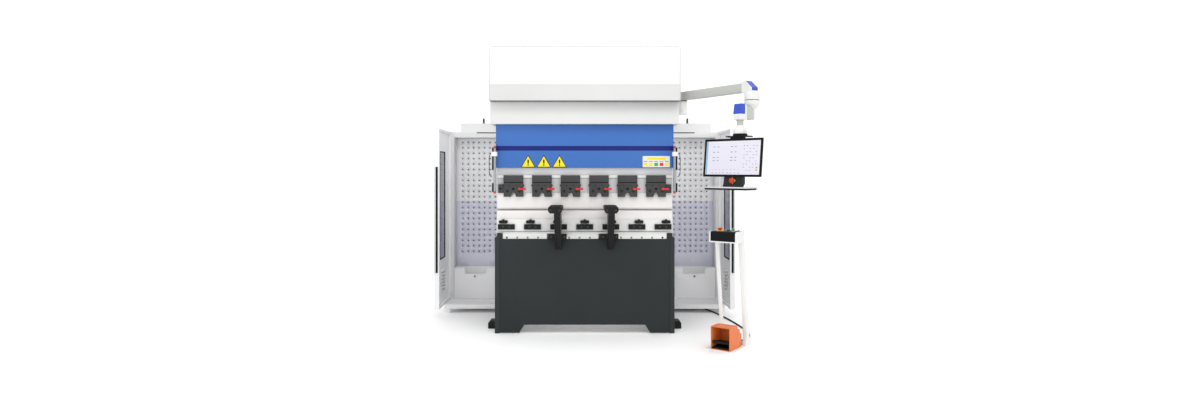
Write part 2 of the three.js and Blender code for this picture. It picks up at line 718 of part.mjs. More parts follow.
function cableRoute() {
  const points = [
    [974.1, -326.9, 30], [983, -314.7, 30], [1001, -290, 24], [1020, -263, 15], [1042, -232, 8],
    [1070, -198, 5.8], [1100, -150, 5.8], [1124, -85, 5.8], [1135, 0, 5.8], [1134, 100, 5.8],
    [1122, 220, 5.8], [1102, 360, 5.8], [1076, 500, 5.8], [1044, 640, 5.8], [1004, 770, 5.8],
    [962, 862, 5.8], [905, 902, 5.8], [835, 896, 5.8], [775, 858, 7], [720, 815, 13],
    [680, 801, 17.5], [FRAME_OUT + 24 + GAP, 800, 18],
  ];
  return new THREE.CatmullRomCurve3(points.map((p) => new THREE.Vector3(...p)), false, 'centripetal');
}

function pedalCable() {
  const route = cableRoute();
  const ring = new THREE.Shape();
  const radius = CABLE_D / 2;
  for (let i = 0; i < CABLE_SIDES; i += 1) {
    const turn = (2 * Math.PI * i) / CABLE_SIDES;
    const point = [radius * Math.cos(turn), radius * Math.sin(turn)];
    if (i === 0) {
      ring.moveTo(...point);
    } else {
      ring.lineTo(...point);
    }
  }
  return new THREE.ExtrudeGeometry(ring, { steps: CABLE_STEPS, extrudePath: route, bevelEnabled: false });
}

// ---- origin at the centre of the base, measured without the cable ----
machine.updateMatrixWorld(true);
const extent = new THREE.Box3().setFromObject(machine, true);
const middle = extent.getCenter(new THREE.Vector3());
add('pedal_cable', pedalCable(), rubberBlack);
machine.position.set(-middle.x, -middle.y, -extent.min.z);
machine.updateMatrixWorld(true);

export default machine;
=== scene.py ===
"""Press brake with tool cabinets, control pendant and pedal stand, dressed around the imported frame.

Millimetres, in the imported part's frame: +X to the operator's right, +Y away from the operator, +Z up.
The camera, the lights and the cable are in metres.
"""

import math

import bmesh
import bpy
from mathutils import Matrix, Vector


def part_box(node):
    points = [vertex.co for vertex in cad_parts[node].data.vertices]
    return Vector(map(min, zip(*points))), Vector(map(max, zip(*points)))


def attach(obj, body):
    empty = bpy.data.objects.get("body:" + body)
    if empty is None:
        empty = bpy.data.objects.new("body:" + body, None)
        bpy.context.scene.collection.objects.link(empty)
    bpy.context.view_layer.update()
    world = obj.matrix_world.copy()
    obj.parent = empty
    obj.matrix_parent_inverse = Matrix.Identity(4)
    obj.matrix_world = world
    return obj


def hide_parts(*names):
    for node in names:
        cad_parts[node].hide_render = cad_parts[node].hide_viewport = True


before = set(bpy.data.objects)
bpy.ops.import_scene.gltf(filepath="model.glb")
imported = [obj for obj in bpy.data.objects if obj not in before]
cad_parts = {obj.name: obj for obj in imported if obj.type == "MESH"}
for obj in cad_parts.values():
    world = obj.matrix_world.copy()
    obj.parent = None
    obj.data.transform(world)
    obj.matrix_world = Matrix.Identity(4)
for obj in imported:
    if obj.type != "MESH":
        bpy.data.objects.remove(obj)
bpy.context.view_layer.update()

MM = 0.001
CREASE = math.radians(34)  # edges sharper than this stay crisp


class Corners:
    """A CAD node's box at rest in millimetres: its six limits, its middle, and how far its nearer and
    farther sides are from the centre plane."""

    def __init__(self, node):
        low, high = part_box(node)
        self.x0, self.y0, self.z0 = (value / MM for value in low)
        self.x1, self.y1, self.z1 = (value / MM for value in high)
        self.x = (self.x0 + self.x1) / 2
        self.y = (self.y0 + self.y1) / 2
        self.z = (self.z0 + self.z1) / 2
        self.inner = min(abs(self.x0), abs(self.x1))
        self.outer = max(abs(self.x0), abs(self.x1))


BED = Corners("bed_front_cover")
BED_FRONT = BED.y0  # the machine's front plane, from which depths are counted
SIDES = (("right", 1), ("left", -1))


def add_object(name, data):
    """A new object in the scene."""
    thing = bpy.data.objects.new(name, data)
    bpy.context.scene.collection.objects.link(thing)
    return thing


# ---------------------------------------------------------------- camera, in metres
CAMERA_BACK = 4.9  # from the bed's front
CAMERA_HEIGHT = 1.136
CAMERA_LENS = 21.15
CAMERA_SHIFT = (0.01275, -0.025)


def make_camera():
    camera = add_object("camera", bpy.data.cameras.new("camera"))
    camera.location = (0, BED_FRONT * MM - CAMERA_BACK, CAMERA_HEIGHT)
    camera.rotation_euler = (math.radians(90), 0, 0)
    camera.data.lens = CAMERA_LENS
    camera.data.sensor_width = 36
    camera.data.shift_x, camera.data.shift_y = CAMERA_SHIFT
    bpy.context.scene.camera = camera


# ---------------------------------------------------------------- materials
def srgb(code):
    """The linear colour of a #rrggbb code."""
    channels = [int(code[i:i + 2], 16) / 255 for i in (1, 3, 5)]
    linear = [c / 12.92 if c <= 0.04045 else ((c + 0.055) / 1.055) ** 2.4 for c in channels]
    return (*linear, 1)


class Surface:
    """A material's node tree, with the few steps that all the finishes share."""

    def __init__(self, name, rough, metal=0.0, coat=0.0, specular=0.5):
        self.material = bpy.data.materials.new(name)
        self.material.use_nodes = True
        self.tree = self.material.node_tree
        self.shader = self.tree.nodes["Principled BSDF"]
        self.rough = rough
        self.shader.inputs["Roughness"].default_value = rough
        self.shader.inputs["Metallic"].default_value = metal
        self.shader.inputs["Coat Weight"].default_value = coat
        self.shader.inputs["Coat Roughness"].default_value = 0.12
        self.shader.inputs["Specular IOR Level"].default_value = specular
        self.coords = self.add("ShaderNodeTexCoord")

    def add(self, kind, **values):
        node = self.tree.nodes.new(kind)
        for key, value in values.items():
            setattr(node, key, value)
        return node

    def join(self, source, target):
        self.tree.links.new(source, target)

    def noise(self, scale, stretch=(1, 1, 1), detail=3.0):
        mapping = self.add("ShaderNodeMapping")
        mapping.inputs["Scale"].default_value = stretch
        texture = self.add("ShaderNodeTexNoise")
        texture.inputs["Scale"].default_value = scale
        texture.inputs["Detail"].default_value = detail
        self.join(self.coords.outputs["Object"], mapping.inputs["Vector"])
        self.join(mapping.outputs["Vector"], texture.inputs["Vector"])
        return texture.outputs["Fac"]

    def ramp(self, fac, stops):
        ramp = self.add("ShaderNodeValToRGB")
        elements = ramp.color_ramp.elements
        while len(elements) < len(stops):
            elements.new(0.5)
        for element, (place, color) in zip(elements, stops):
            element.position = place
            element.color = color
        self.join(fac, ramp.inputs["Fac"])
        return ramp.outputs["Color"]

    def feed(self, node, *values):
        """Gives a node's inputs, in order, other outputs or constants, and returns its own output."""
        for socket, value in zip(node.inputs, values):
            if isinstance(value, bpy.types.NodeSocket):
                self.join(value, socket)
            else:
                socket.default_value = value
        return node.outputs[0]

    def mix(self, fac, first, second, blend="MIX"):
        return self.feed(self.add("ShaderNodeMixRGB", blend_type=blend), fac, first, second)

    def maths(self, operation, first, second):
        return self.feed(self.add("ShaderNodeMath", operation=operation), first, second)

    def height(self):
        split = self.add("ShaderNodeSeparateXYZ")
        self.join(self.coords.outputs["Object"], split.inputs["Vector"])
        return split.outputs["Z"]

    def between(self, value, low, high):
        """1 where the value lies between low and high."""
        above = self.maths("GREATER_THAN", value, low)
        below = self.maths("LESS_THAN", value, high)
        return self.maths("MULTIPLY", above, below)

    def tone(self, code, spread, scale=3.0, bands=()):
        """The base colour, with soft cloudy variation and painted bands between two heights."""
        result = srgb(code)
        for low, high, band in bands:
            result = self.mix(self.between(self.height(), low * MM, high * MM), result, srgb(band))
        cloud = self.ramp(self.noise(scale), [(0.3, (1 - spread,) * 3 + (1,)), (0.7, (1, 1, 1, 1))])
        result = self.mix(1.0, result, cloud, "MULTIPLY")
        self.join(result, self.shader.inputs["Base Color"])

    def vary_roughness(self, fac, spread):
        remap = self.add("ShaderNodeMapRange")
        remap.inputs["To Min"].default_value = max(self.rough - spread, 0.03)
        remap.inputs["To Max"].default_value = min(self.rough + spread, 1.0)
        self.join(fac, remap.inputs["Value"])
        self.join(remap.outputs["Result"], self.shader.inputs["Roughness"])

    def bump(self, fac, strength, distance=0.0005):
        node = self.add("ShaderNodeBump")
        node.inputs["Strength"].default_value = strength
        node.inputs["Distance"].default_value = distance
        self.join(fac, node.inputs["Height"])
        self.join(node.outputs["Normal"], self.shader.inputs["Normal"])


def powder_coat(name, code, rough=0.42, spread=0.035, peel=0.12, bands=(), coat=0.0, specular=0.5):
    surface = Surface(name, rough, coat=coat, specular=specular)
    surface.tone(code, spread, bands=bands)
    surface.vary_roughness(surface.noise(9.0), 0.06)
    surface.bump(surface.noise(420.0, detail=2.0), peel)
    return surface.material


def ground_metal(name, code, rough=0.3, metal=0.8, grain=(0.03, 1, 1), bands=(), specular=0.5):
    """Ground or brushed metal: fine scratches run along the axis with the small scale."""
    surface = Surface(name, rough, metal, specular=specular)
    lines = surface.noise(650.0, grain, detail=4.0)
    surface.tone(code, 0.05, bands=bands)
    surface.vary_roughness(lines, 0.1)
    surface.bump(lines, 0.12, 0.0003)
    return surface.material


def moulded(name, code, rough=0.45, grain=0.2, grain_scale=900.0, coat=0.0, specular=0.5):
    surface = Surface(name, rough, coat=coat, specular=specular)
    surface.tone(code, 0.08, scale=12.0)
    surface.vary_roughness(surface.noise(40.0), 0.05)
    surface.bump(surface.noise(grain_scale, detail=2.0), grain, 0.0003)
    return surface.material


def window_pane(name, code):
    surface = Surface(name, 0.08, coat=0.6)
    surface.tone(code, 0.2, scale=2.5)
    surface.shader.inputs["Transmission Weight"].default_value = 0.25
    surface.vary_roughness(surface.noise(14.0), 0.03)
    return surface.material


def glowing(name, code, strength):
    surface = Surface(name, 0.12, coat=0.4)
    surface.tone(code, 0.04, scale=5.0)
    surface.shader.inputs["Emission Color"].default_value = srgb(code)
    surface.shader.inputs["Emission Strength"].default_value = strength
    surface.vary_roughness(surface.noise(20.0), 0.02)
    return surface.material


STRIPE = (1272, 1305)
HOOD = Corners("hood")
HOOD_BAND_TOP = HOOD.z0 + 107
PUNCH_LINE = Corners("lower_die").z1 + 7  # below it the punch narrows to its tip, painted grey as shade

WHITE = powder_coat("white_powder_coat", "#e0e0df")
HOOD_WHITE = powder_coat("hood_powder_coat", "#dcdcdb", bands=[(HOOD.z0, HOOD_BAND_TOP, "#cdcdcc")])
# A darker copy of the white paint for the lower cover: painted shade of its recess under the hood.
SHADED_COVER_WHITE = powder_coat("cover_white_painted_shade", "#d5d5d4")
# A darker copy of the white paint for the ram beam: painted shade.
SHADED_RAM_WHITE = powder_coat("ram_white_painted_shade", "#c6c6c7")
FRAME_PAINT = powder_coat("frame_paint", "#e9e9e8", bands=[(-1, BED.z1 - 30, "#282c2d")], specular=0.25)
CHARCOAL = powder_coat("charcoal_powder_coat", "#282c2d", rough=0.5, spread=0.12, peel=0.2, specular=0.2)
BLUE = powder_coat("blue_paint", "#3b69b0", rough=0.35, bands=[(*STRIPE, "#08196c")], specular=0.25)
GREY_PAINT = powder_coat("grey_paint", "#b3b5b0", rough=0.38)
# The pegboard's white paint; the lilac band below Z 874 is a painted reflection.
PEGBOARD_PAINT_AND_SHEEN = powder_coat("pegboard_paint_and_painted_sheen", "#f4f4f7", rough=0.24, spread=0.06, peel=0.06,
                        bands=[(-1, 874, "#dfe0ef")], coat=0.3)
SEAM_GREY = powder_coat("seam_shadow", "#77797b", specular=0.2)
# Dark grey for painted shade: the sheet behind the pegboard holes and the strip under the hood.
SHADE_GREY = powder_coat("painted_shade_grey", "#6d6f73", specular=0.2)
CABINET_WHITE = powder_coat("cabinet_powder_coat", "#e6e6e7")
# A whiter copy of the cabinet white for the bins and the doors' recesses: painted light against the shade
# inside.
LIT_INNER_WHITE = powder_coat("cabinet_inner_white_painted_light", "#f7f7f8", rough=0.35)
# Near-black paint for dark parts, also used for the painted shadow under the cabinets' headers.
NEAR_BLACK = powder_coat("near_black_paint_and_painted_shadow", "#1d1d1e", rough=0.45, spread=0.15, peel=0.25, specular=0.15)
ORANGE = powder_coat("orange_paint", "#d96f34", rough=0.4, spread=0.08, peel=0.3, specular=0.3)
# A lighter copy of the guard's orange for its inside faces: painted light against the shade inside.
LIT_INSIDE_ORANGE = powder_coat("orange_inside_painted_light", "#f08a45", rough=0.5, spread=0.12, peel=0.3, specular=0.3)
FLOOR = powder_coat("studio_floor", "#fdfdfd", rough=0.7, spread=0.01, peel=0.0)
TOOL_STEEL = ground_metal("ground_tool_steel", "#dfdcda", rough=0.36, metal=0.25)
# Ground punch steel; below PUNCH_LINE it is painted grey as painted shade on the narrowing tip.
PUNCH_STEEL_AND_SHADE = ground_metal("punch_steel_and_painted_shade", "#dfdcda", rough=0.36, metal=0.25,
                           bands=[(800, PUNCH_LINE, "#8b8b8c")])
RAIL_METAL = ground_metal("rail_aluminium", "#d3d4d2", rough=0.34, metal=0.45)
DARK_STEEL = ground_metal("phosphated_steel", "#414142", rough=0.42, metal=0.3, grain=(1, 1, 0.05),
                          specular=0.25)
CHROME = ground_metal("chromed_rod", "#d9dadb", rough=0.12, metal=1.0, grain=(1, 1, 0.05))
GUARD_CAP = moulded("guard_cap_orange", "#b3481c", rough=0.4, grain=0.1)
GUARD_STRIP = ground_metal("guard_strip", "#9c9ea3", rough=0.35, metal=0.4, grain=(1, 1, 0.03))
SILVER = ground_metal("brushed_silver", "#c4c7c9", rough=0.3, metal=0.6, grain=(1, 1, 0.03))
# Black moulded plastic, also used for dark discs painted as holes on the punch clamps.
BLACK_PLASTIC_AND_SHADE = moulded("black_moulding_and_painted_shade", "#0e0f10", rough=0.4, specular=0.12)
BEZEL = moulded("gloss_black_bezel", "#060607", rough=0.2, grain=0.04, specular=0.15)
WHITE_PLASTIC = moulded("white_moulding", "#dadad9", rough=0.3, grain=0.05, coat=0.2)
BLUE_PLASTIC = moulded("blue_moulding", "#2f4bb6", rough=0.28, grain=0.05, specular=0.3)
RED = moulded("red_gloss", "#d02a20", rough=0.25, grain=0.04, specular=0.4)
LEVER_RED = moulded("lever_red", "#cf2f28", rough=0.35, grain=0.15, specular=0.3)
YELLOW = moulded("yellow_gloss", "#e9d824", rough=0.35, grain=0.06, specular=0.3)
GREEN = moulded("green_gloss", "#35a23c", rough=0.25, grain=0.04, specular=0.4)
# Black rubber, also used for the painted shadow strip and the painted centre holes on the punch clamps.
RUBBER_AND_SHADE_BLACK = moulded("black_rubber_and_painted_shade", "#131313", rough=0.7, grain=0.45, grain_scale=700.0, specular=0.2)
CABLE_RUBBER = moulded("cable_rubber", "#0d0d0e", rough=0.55, grain=0.2, specular=0.2)
SLATE = window_pane("slate_window", "#4a5070")
SCREEN = glowing("screen_face", "#c9c6d2", 0.12)
SCREEN_BLUE = glowing("screen_strip", "#6fa3c8", 0.1)
SCREEN_MARK = glowing("screen_mark", "#77798a", 0.0)
SCREEN_ORANGE = glowing("screen_accent", "#dd9440", 0.1)


# ---------------------------------------------------------------- shape tools
def mirrored(sign):
    """Leaves the right side as it is (sign 1), or mirrors it to the left (sign -1)."""
    return Matrix.Scale(sign, 4, (1, 0, 0))


def span(side, near, far):
    """The X limits, low first, of what lies between near and far from the middle on one side."""
    return sorted((side * near, side * far))


def drum(radius, low, high):
    """The profile of a plain cylinder, for a lathe."""
    return [(0, low), (radius, low), (radius, high), (0, high)]


class Shape:
    """Collects the faces of one piece, then makes it an object that rides on a body."""

    def __init__(self, place=None):
        self.bm = bmesh.new()
        self.paints = []
        self.place = place or Matrix.Identity(4)

    def mesh(self, points, faces, paint, smooth=False):
        if paint not in self.paints:
            self.paints.append(paint)
        verts = [self.bm.verts.new(self.place @ Vector(point) * MM) for point in points]
        for face in faces:
            made = self.bm.faces.new([verts[i] for i in face])
            made.material_index = self.paints.index(paint)
            made.smooth = smooth
        return self

    def prism(self, outline, axis, low, high, paint):
        """An outline in the two other axes, in X, Y, Z order, drawn from low to high along axis."""
        at = "XYZ".index(axis)
        count = len(outline)
        points = [(*spot[:at], height, *spot[at:]) for height in (low, high) for spot in outline]
        faces = [list(range(count))[::-1], list(range(count, 2 * count))]
        faces += [[i, (i + 1) % count, count + (i + 1) % count, count + i] for i in range(count)]
        return self.mesh(points, faces, paint)

    def box(self, x0, x1, y0, y1, z0, z1, paint):
        return self.prism([(x0, y0), (x1, y0), (x1, y1), (x0, y1)], "Z", z0, z1, paint)

    def lathe(self, profile, paint, centre=(0, 0, 0), axis="Z", steps=32):
        """Turns (radius, height) points about an axis through centre. The profile ends on the axis."""
        turn = {"Z": Matrix.Identity(4), "Y": Matrix.Rotation(math.radians(-90), 4, "X"),
                "X": Matrix.Rotation(math.radians(90), 4, "Y")}[axis]
        move = Matrix.Translation(centre) @ turn
        points = []
        rings = []
        for radius, height in profile:
            if radius == 0:
                rings.append([len(points)] * steps)
                points.append(move @ Vector((0, 0, height)))
                continue
            rings.append(list(range(len(points), len(points) + steps)))
            for i in range(steps):
                angle = 2 * math.pi * i / steps
                points.append(move @ Vector((radius * math.cos(angle), radius * math.sin(angle), height)))
        faces = []
        for lower, upper in zip(rings, rings[1:]):
            for i in range(steps):
                j = (i + 1) % steps
                face = [lower[i], lower[j], upper[j], upper[i]]
                faces.append(list(dict.fromkeys(face)))
        return self.mesh(points, faces, paint, smooth=True)

    def disc(self, centre, radius, thick, paint, axis="Y", steps=24):
        """A button or screw head whose front edge is softened. It grows from centre along axis."""
        edge = abs(thick) / 5
        rise = math.copysign(abs(thick) - edge, thick)
        profile = [(0, 0), (radius, 0), (radius, rise), (radius - edge, thick), (0, thick)]
        return self.lathe(profile, paint, centre, axis, steps)

    def tube(self, points, radius, paint, sides=10, closed=False):
        """A round bar through points."""
        route = [Vector(point) for point in points]
        count = len(route)
        rings = []
        side = None
        for i, here in enumerate(route):
            before = route[i - 1] if i or closed else here
            after = route[(i + 1) % count] if i < count - 1 or closed else here
            along = (after - before).normalized()
            if side is None:
                side = along.orthogonal().normalized()
            side = (side - along * side.dot(along)).normalized()
            up = along.cross(side)
            turns = [2 * math.pi * k / sides for k in range(sides)]
            rings.append([here + radius * (side * math.cos(t) + up * math.sin(t)) for t in turns])
        spots = [spot for ring in rings for spot in ring]
        last = count if closed else count - 1
        faces = []
        for i in range(last):
            a, b = i * sides, ((i + 1) % count) * sides
            faces += [[a + k, a + (k + 1) % sides, b + (k + 1) % sides, b + k] for k in range(sides)]
        if not closed:
            faces += [list(range(sides))[::-1], list(range((count - 1) * sides, count * sides))]
        return self.mesh(spots, faces, paint, smooth=True)

    def carve(self, cutter):
        """Takes the cutter's closed shapes away. The cut faces take the cutter's paint."""
        for paint in cutter.paints:
            if paint not in self.paints:
                self.paints.append(paint)
        for face in cutter.bm.faces:
            face.material_index = self.paints.index(cutter.paints[face.material_index])
        cutter.paints = self.paints
        body, tool = self.to_object("body"), cutter.to_object("tool")
        modifier = body.modifiers.new("carve", "BOOLEAN")
        modifier.operation = "DIFFERENCE"
        modifier.object = tool
        modifier.solver = "EXACT"
        graph = bpy.context.evaluated_depsgraph_get()
        result = bpy.data.meshes.new_from_object(body.evaluated_get(graph))
        self.bm = bmesh.new()
        self.bm.from_mesh(result)
        for leftover in (body, tool):
            bpy.data.objects.remove(leftover)
        return self

    def to_object(self, name):
        bmesh.ops.recalc_face_normals(self.bm, faces=self.bm.faces)
        mesh = bpy.data.meshes.new(name)
        self.bm.to_mesh(mesh)
        self.bm.free()
        for paint in self.paints:
            mesh.materials.append(paint)
        return add_object(name, mesh)

    def finish(self, name, body, bevel, slot, instead_of=()):
        """Makes the piece, on its body, with its edges rounded by bevel."""
        piece = self.to_object(name)
        piece.data.shade_smooth()
        piece.data.set_sharp_from_angle(angle=CREASE)
        if bevel:
            soften(piece, bevel)
        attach(piece, body)
        if instead_of:
            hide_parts(*instead_of)
        return piece


def soften(piece, width):
    """Rounds every sharp edge a little, as folded sheet and machined plate are."""
    modifier = piece.modifiers.new("soft_edges", "BEVEL")
    modifier.width = width * MM
    modifier.segments = 2
    modifier.limit_method = "ANGLE"
    modifier.angle_limit = CREASE
    modifier.harden_normals = True
    modifier.use_clamp_overlap = True


def dress(node, material, bevel):
    """Gives a CAD node its finish and soft edges."""
    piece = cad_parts[node]
    piece.data.materials.clear()
    piece.data.materials.append(material)
    weld = piece.modifiers.new("weld", "WELD")
    weld.merge_threshold = 0.00001
    flat = piece.modifiers.new("flat_faces", "DECIMATE")
    flat.decimate_type = "DISSOLVE"
    flat.angle_limit = math.radians(1)
    soften(piece, bevel)
    piece.data.set_sharp_from_angle(angle=CREASE)


def rounded(x0, x1, z0, z1, radius, steps=5):
    """A rectangle's outline with round corners, counter-clockwise."""
    corners = [(x1 - radius, z1 - radius, 0), (x0 + radius, z1 - radius, 90),
               (x0 + radius, z0 + radius, 180), (x1 - radius, z0 + radius, 270)]
    points = []
    for x, z, start in corners:
        for i in range(steps + 1):
            angle = math.radians(start + 90 * i / steps)
            points.append((x + radius * math.cos(angle), z + radius * math.sin(angle)))
    return points


def placed(point, degrees):
    """A frame on the floor at a row point, turned about the vertical."""
    return Matrix.Translation((point[0], point[1], 0)) @ Matrix.Rotation(math.radians(degrees), 4, "Z")


# ---------------------------------------------------------------- pedal cable, in metres
CABLE_D = 0.011
# Along the floor: X, Y back from the bed's front, and Z.
CABLE_ROUTE = [
    (0.9741, -0.3269, 0.0300), (0.9830, -0.3147, 0.0300), (1.0010, -0.2900, 0.0240),
    (1.0200, -0.2630, 0.0150), (1.0420, -0.2320, 0.0080), (1.0700, -0.1980, 0.0058),
    (1.1000, -0.1500, 0.0058), (1.1240, -0.0850, 0.0058), (1.1350, 0.0000, 0.0058),
    (1.1340, 0.1000, 0.0058), (1.1220, 0.2200, 0.0058), (1.1020, 0.3600, 0.0058),
    (1.0760, 0.5000, 0.0058), (1.0440, 0.6400, 0.0058), (1.0040, 0.7700, 0.0058),
    (0.9620, 0.8620, 0.0058), (0.9050, 0.9020, 0.0058), (0.8350, 0.8960, 0.0058),
    (0.7750, 0.8580, 0.0070), (0.7200, 0.8150, 0.0130), (0.6800, 0.8010, 0.0175),
    (0.6493, 0.8000, 0.0180),
]


def make_cable():
    curve = bpy.data.curves.new("pedal_cable_curve", "CURVE")
    curve.dimensions = "3D"
    curve.bevel_depth = CABLE_D / 2
    curve.bevel_resolution = 4
    curve.resolution_u = 8
    curve.use_fill_caps = True
    spline = curve.splines.new("BEZIER")
    spline.bezier_points.add(len(CABLE_ROUTE) - 1)
    for point, (x, y, z) in zip(spline.bezier_points, CABLE_ROUTE):
        point.co = (x, BED_FRONT * MM + y, z)
        point.handle_left_type = "AUTO"
        point.handle_right_type = "AUTO"
    curve.materials.append(CABLE_RUBBER)
    cable = add_object("pedal_cable_run", curve)
    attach(cable, "root")
    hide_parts("pedal_cable")


# ---------------------------------------------------------------- bed and table
WEB_IN = 82  # from a support's left end to the middle of its web
HEAD_SHIFT = {"left": -13, "right": -2}
RAIL = Corners("support_rail")
TABLE = Corners("table_beam")


def dress_bed():
    dress("bed_front_cover", CHARCOAL, 2)
    dress("table_beam", WHITE, 2)
    dress("lower_die", TOOL_STEEL, 1)
    dress("support_rail", RAIL_METAL, 1)
    for side, _ in SIDES:
        dress(f"side_frame_{side}", FRAME_PAINT, 2)
        dress(f"anchor_foot_{side}", NEAR_BLACK, 2)


def make_die_clamps():
    """Seven bars that hold the lower die, each with a screw knob above it, on one white holder."""
    strip = Corners("die_clamp_bar")
    back = strip.y1
    half = TABLE.x1
    holder = Shape()
    holder.box(-half, half, back - 9.5, back, strip.z0, strip.z1 - 1, WHITE)
    holder.box(-half, half, back - 12, back - 9, strip.z0, strip.z0 + 10, WHITE)
    holder.finish("die_holder", "root", 1, "white_paint", ["die_clamp_bar"])
    bars = Shape()
    knobs = Shape()
    for i in range(7):
        x = (i - 3) * 183
        z0, z1 = strip.z0 + 14, strip.z0 + 50
        front = strip.y0 + 4
        bars.box(x - 59, x + 59, front, back - 9, z0, z1, NEAR_BLACK)
        for dx in (-22, 22):
            bars.disc((x + dx, front - 0.2, (z0 + z1) / 2), 6.5, -1.2, DARK_STEEL)
        knob_x = (i - 3) * 190
        low = strip.z0 + 56
        body = rounded(knob_x - 31, knob_x + 31, low, low + 22, 9)
        knobs.prism(body, "Y", strip.y0, back - 9, NEAR_BLACK)
        knobs.lathe([(0, 18), (8, 18), (8, 26), (5, 30), (0, 30)],
                    NEAR_BLACK, (knob_x, strip.y0 + 8, low), steps=16)
    bars.finish("die_clamps", "root", 1.5, "black_steel")
    knobs.finish("die_clamp_knobs", "root", 1.5, "black_steel")


def make_rail_screws():
    """Sixteen plug screws along the rail: green inside, dark at the two ends."""
    screws = Shape()
    for i in range(16):
        x = (i - 7.5) * 72.2
        paint = NEAR_BLACK if i in (0, 15) else GREEN
        screws.disc((x, RAIL.y0 + 0.1, RAIL.z0 + 9), 7, -0.3, DARK_STEEL)
        screws.disc((x, RAIL.y0 + 0.1, RAIL.z0 + 9), 5.8, -0.5, paint)
    screws.finish("rail_screws", "root", 0, "black_steel")


def make_supports():
    """Pads, screws and clamp bolts that ride on the two sheet supports."""
    for side, _ in SIDES:
        dress(f"front_support_{side}", NEAR_BLACK, 2)
        place = Corners(f"front_support_{side}")
        x = place.x0 + WEB_IN
        head = x + HEAD_SHIFT[side]
        fittings = Shape()
        for dx in (-30, 30):
            fittings.disc((head + dx, place.y0 + 0.5, place.z1 - 20), 7, -2.5, DARK_STEEL)
            fittings.disc((head + dx, place.y0 - 1.8, place.z1 - 20), 3.5, -0.6, RUBBER_AND_SHADE_BLACK, steps=6)
        for dx in (-50, 42):
            fittings.disc((x + dx, BED_FRONT - 39.8, RAIL.z0 + 19), 8, -4, DARK_STEEL)
        fittings.finish(f"support_fittings_{side}", f"support_{side}", 0, "black_steel")
        pad = Shape()
        y0, y1 = place.y0 + 6, BED_FRONT + 16
        pad.box(head - 34, head + 34, y0, y1, place.z1, place.z1 + 1.2, RUBBER_AND_SHADE_BLACK)
        pad.finish(f"support_pad_{side}", f"support_{side}", 0.4, "black_steel")


# ---------------------------------------------------------------- ram and its tooling
RAM = Corners("ram_front_cover")
RAM_BEAM = Corners("ram_beam")
LEDGE_Z = (1080, 1100)
LEDGE_LINES = (1078.5, 1101)
RETAINER_X = (569.5, 607)
RETAINER_Z = (975, 1035)


def dress_ram():
    dress("ram_beam", SHADED_RAM_WHITE, 2)
    dress("ram_front_cover", BLUE, 2)
    dress("punch", PUNCH_STEEL_AND_SHADE, 0.8)
    for i in range(1, 7):
        dress(f"punch_clamp_{i}", DARK_STEEL, 1.5)
        dress(f"clamp_lever_{i}", LEVER_RED, 1.8)
    for side, _ in SIDES:
        dress(f"ram_cylinder_{side}", GREY_PAINT, 1.5)
        dress(f"piston_rod_{side}", CHROME, 1.5)


def make_ram_ledge():
    """The machined step that the punch clamps are screwed to, and the two end retainers."""
    half = RAM_BEAM.x1
    front = RAM_BEAM.y0
    ledge = Shape()
    ledge.box(-half, half, front - 5, front - 0.2, *LEDGE_Z, WHITE)
    for z in LEDGE_LINES:
        ledge.box(-half, half, front - 1.2, front + 1, z - 1.5, z + 1.5, SEAM_GREY)
    ledge.finish("ram_ledge", "ram", 1, "white_paint")
    ends = Shape()
    for side in (-1, 1):
        x0, x1 = span(side, *RETAINER_X)
        ends.box(x0, x1, front - 16, front - 0.2, *RETAINER_Z, DARK_STEEL)
        ends.disc(((x0 + x1) / 2 + side * 4, front - 15.8, sum(RETAINER_Z) / 2), 7, -2.5, BLACK_PLASTIC_AND_SHADE)
    ends.finish("punch_retainers", "ram", 1.2, "clamp_grey")


def make_clamp_fittings():
    """Screws, adjusting wedge, dark discs painted as holes and a dark strip painted as shadow on each punch
    clamp.
    """
    for i in range(1, 7):
        clamp = Corners(f"punch_clamp_{i}")
        x, front = clamp.x, clamp.y0 + 8
        bits = Shape()
        for dx in (-42, 42):
            bits.disc((x + dx, front + 0.2, clamp.z0 + 40), 8.5, -4, BLACK_PLASTIC_AND_SHADE)
            bits.disc((x + dx, front - 3.6, clamp.z0 + 40), 4, -0.5, DARK_STEEL, steps=6)
        for dx in (-26, 22):
            # Small dark discs painted as holes: painted shade.
            bits.disc((x + dx, front + 0.2, clamp.z0 + 80), 3.5, -1, BLACK_PLASTIC_AND_SHADE)
        # The dark centre disc and its darker hex are painted as the centre hole: painted shade.
        bits.disc((x, front + 0.2, clamp.z0 + 56), 9, -2, BLACK_PLASTIC_AND_SHADE)
        bits.disc((x, front - 1.7, clamp.z0 + 56), 4.5, -0.5, RUBBER_AND_SHADE_BLACK, steps=6)
        for dx in (-30, 30):
            bits.disc((x + dx, clamp.y0 + 0.2, clamp.z1 - 24), 5, -1, DARK_STEEL)
        # A dark strip across the clamp: painted shadow under the clamp's block.
        bits.box(x - 68, x + 68, front - 3, front + 1, clamp.z1 - 52, clamp.z1 - 46, RUBBER_AND_SHADE_BLACK)
        for side in (-1, 1):
            x0, x1 = span(side, 68.3, 74)
            bits.box(x + x0, x + x1, front + 4, front + 22, clamp.z0 + 74, clamp.z0 + 86, BLACK_PLASTIC_AND_SHADE)
        bits.finish(f"clamp_fittings_{i}", "ram", 0, "black_steel")


GUARD_X = (620, 634.5, 645)  # the strip's inner face, the joint with the housing, the housing's outer face
GUARD_GAP = (1045, 1135)
GUARD_BRACKET_Z = (1232, 1263)


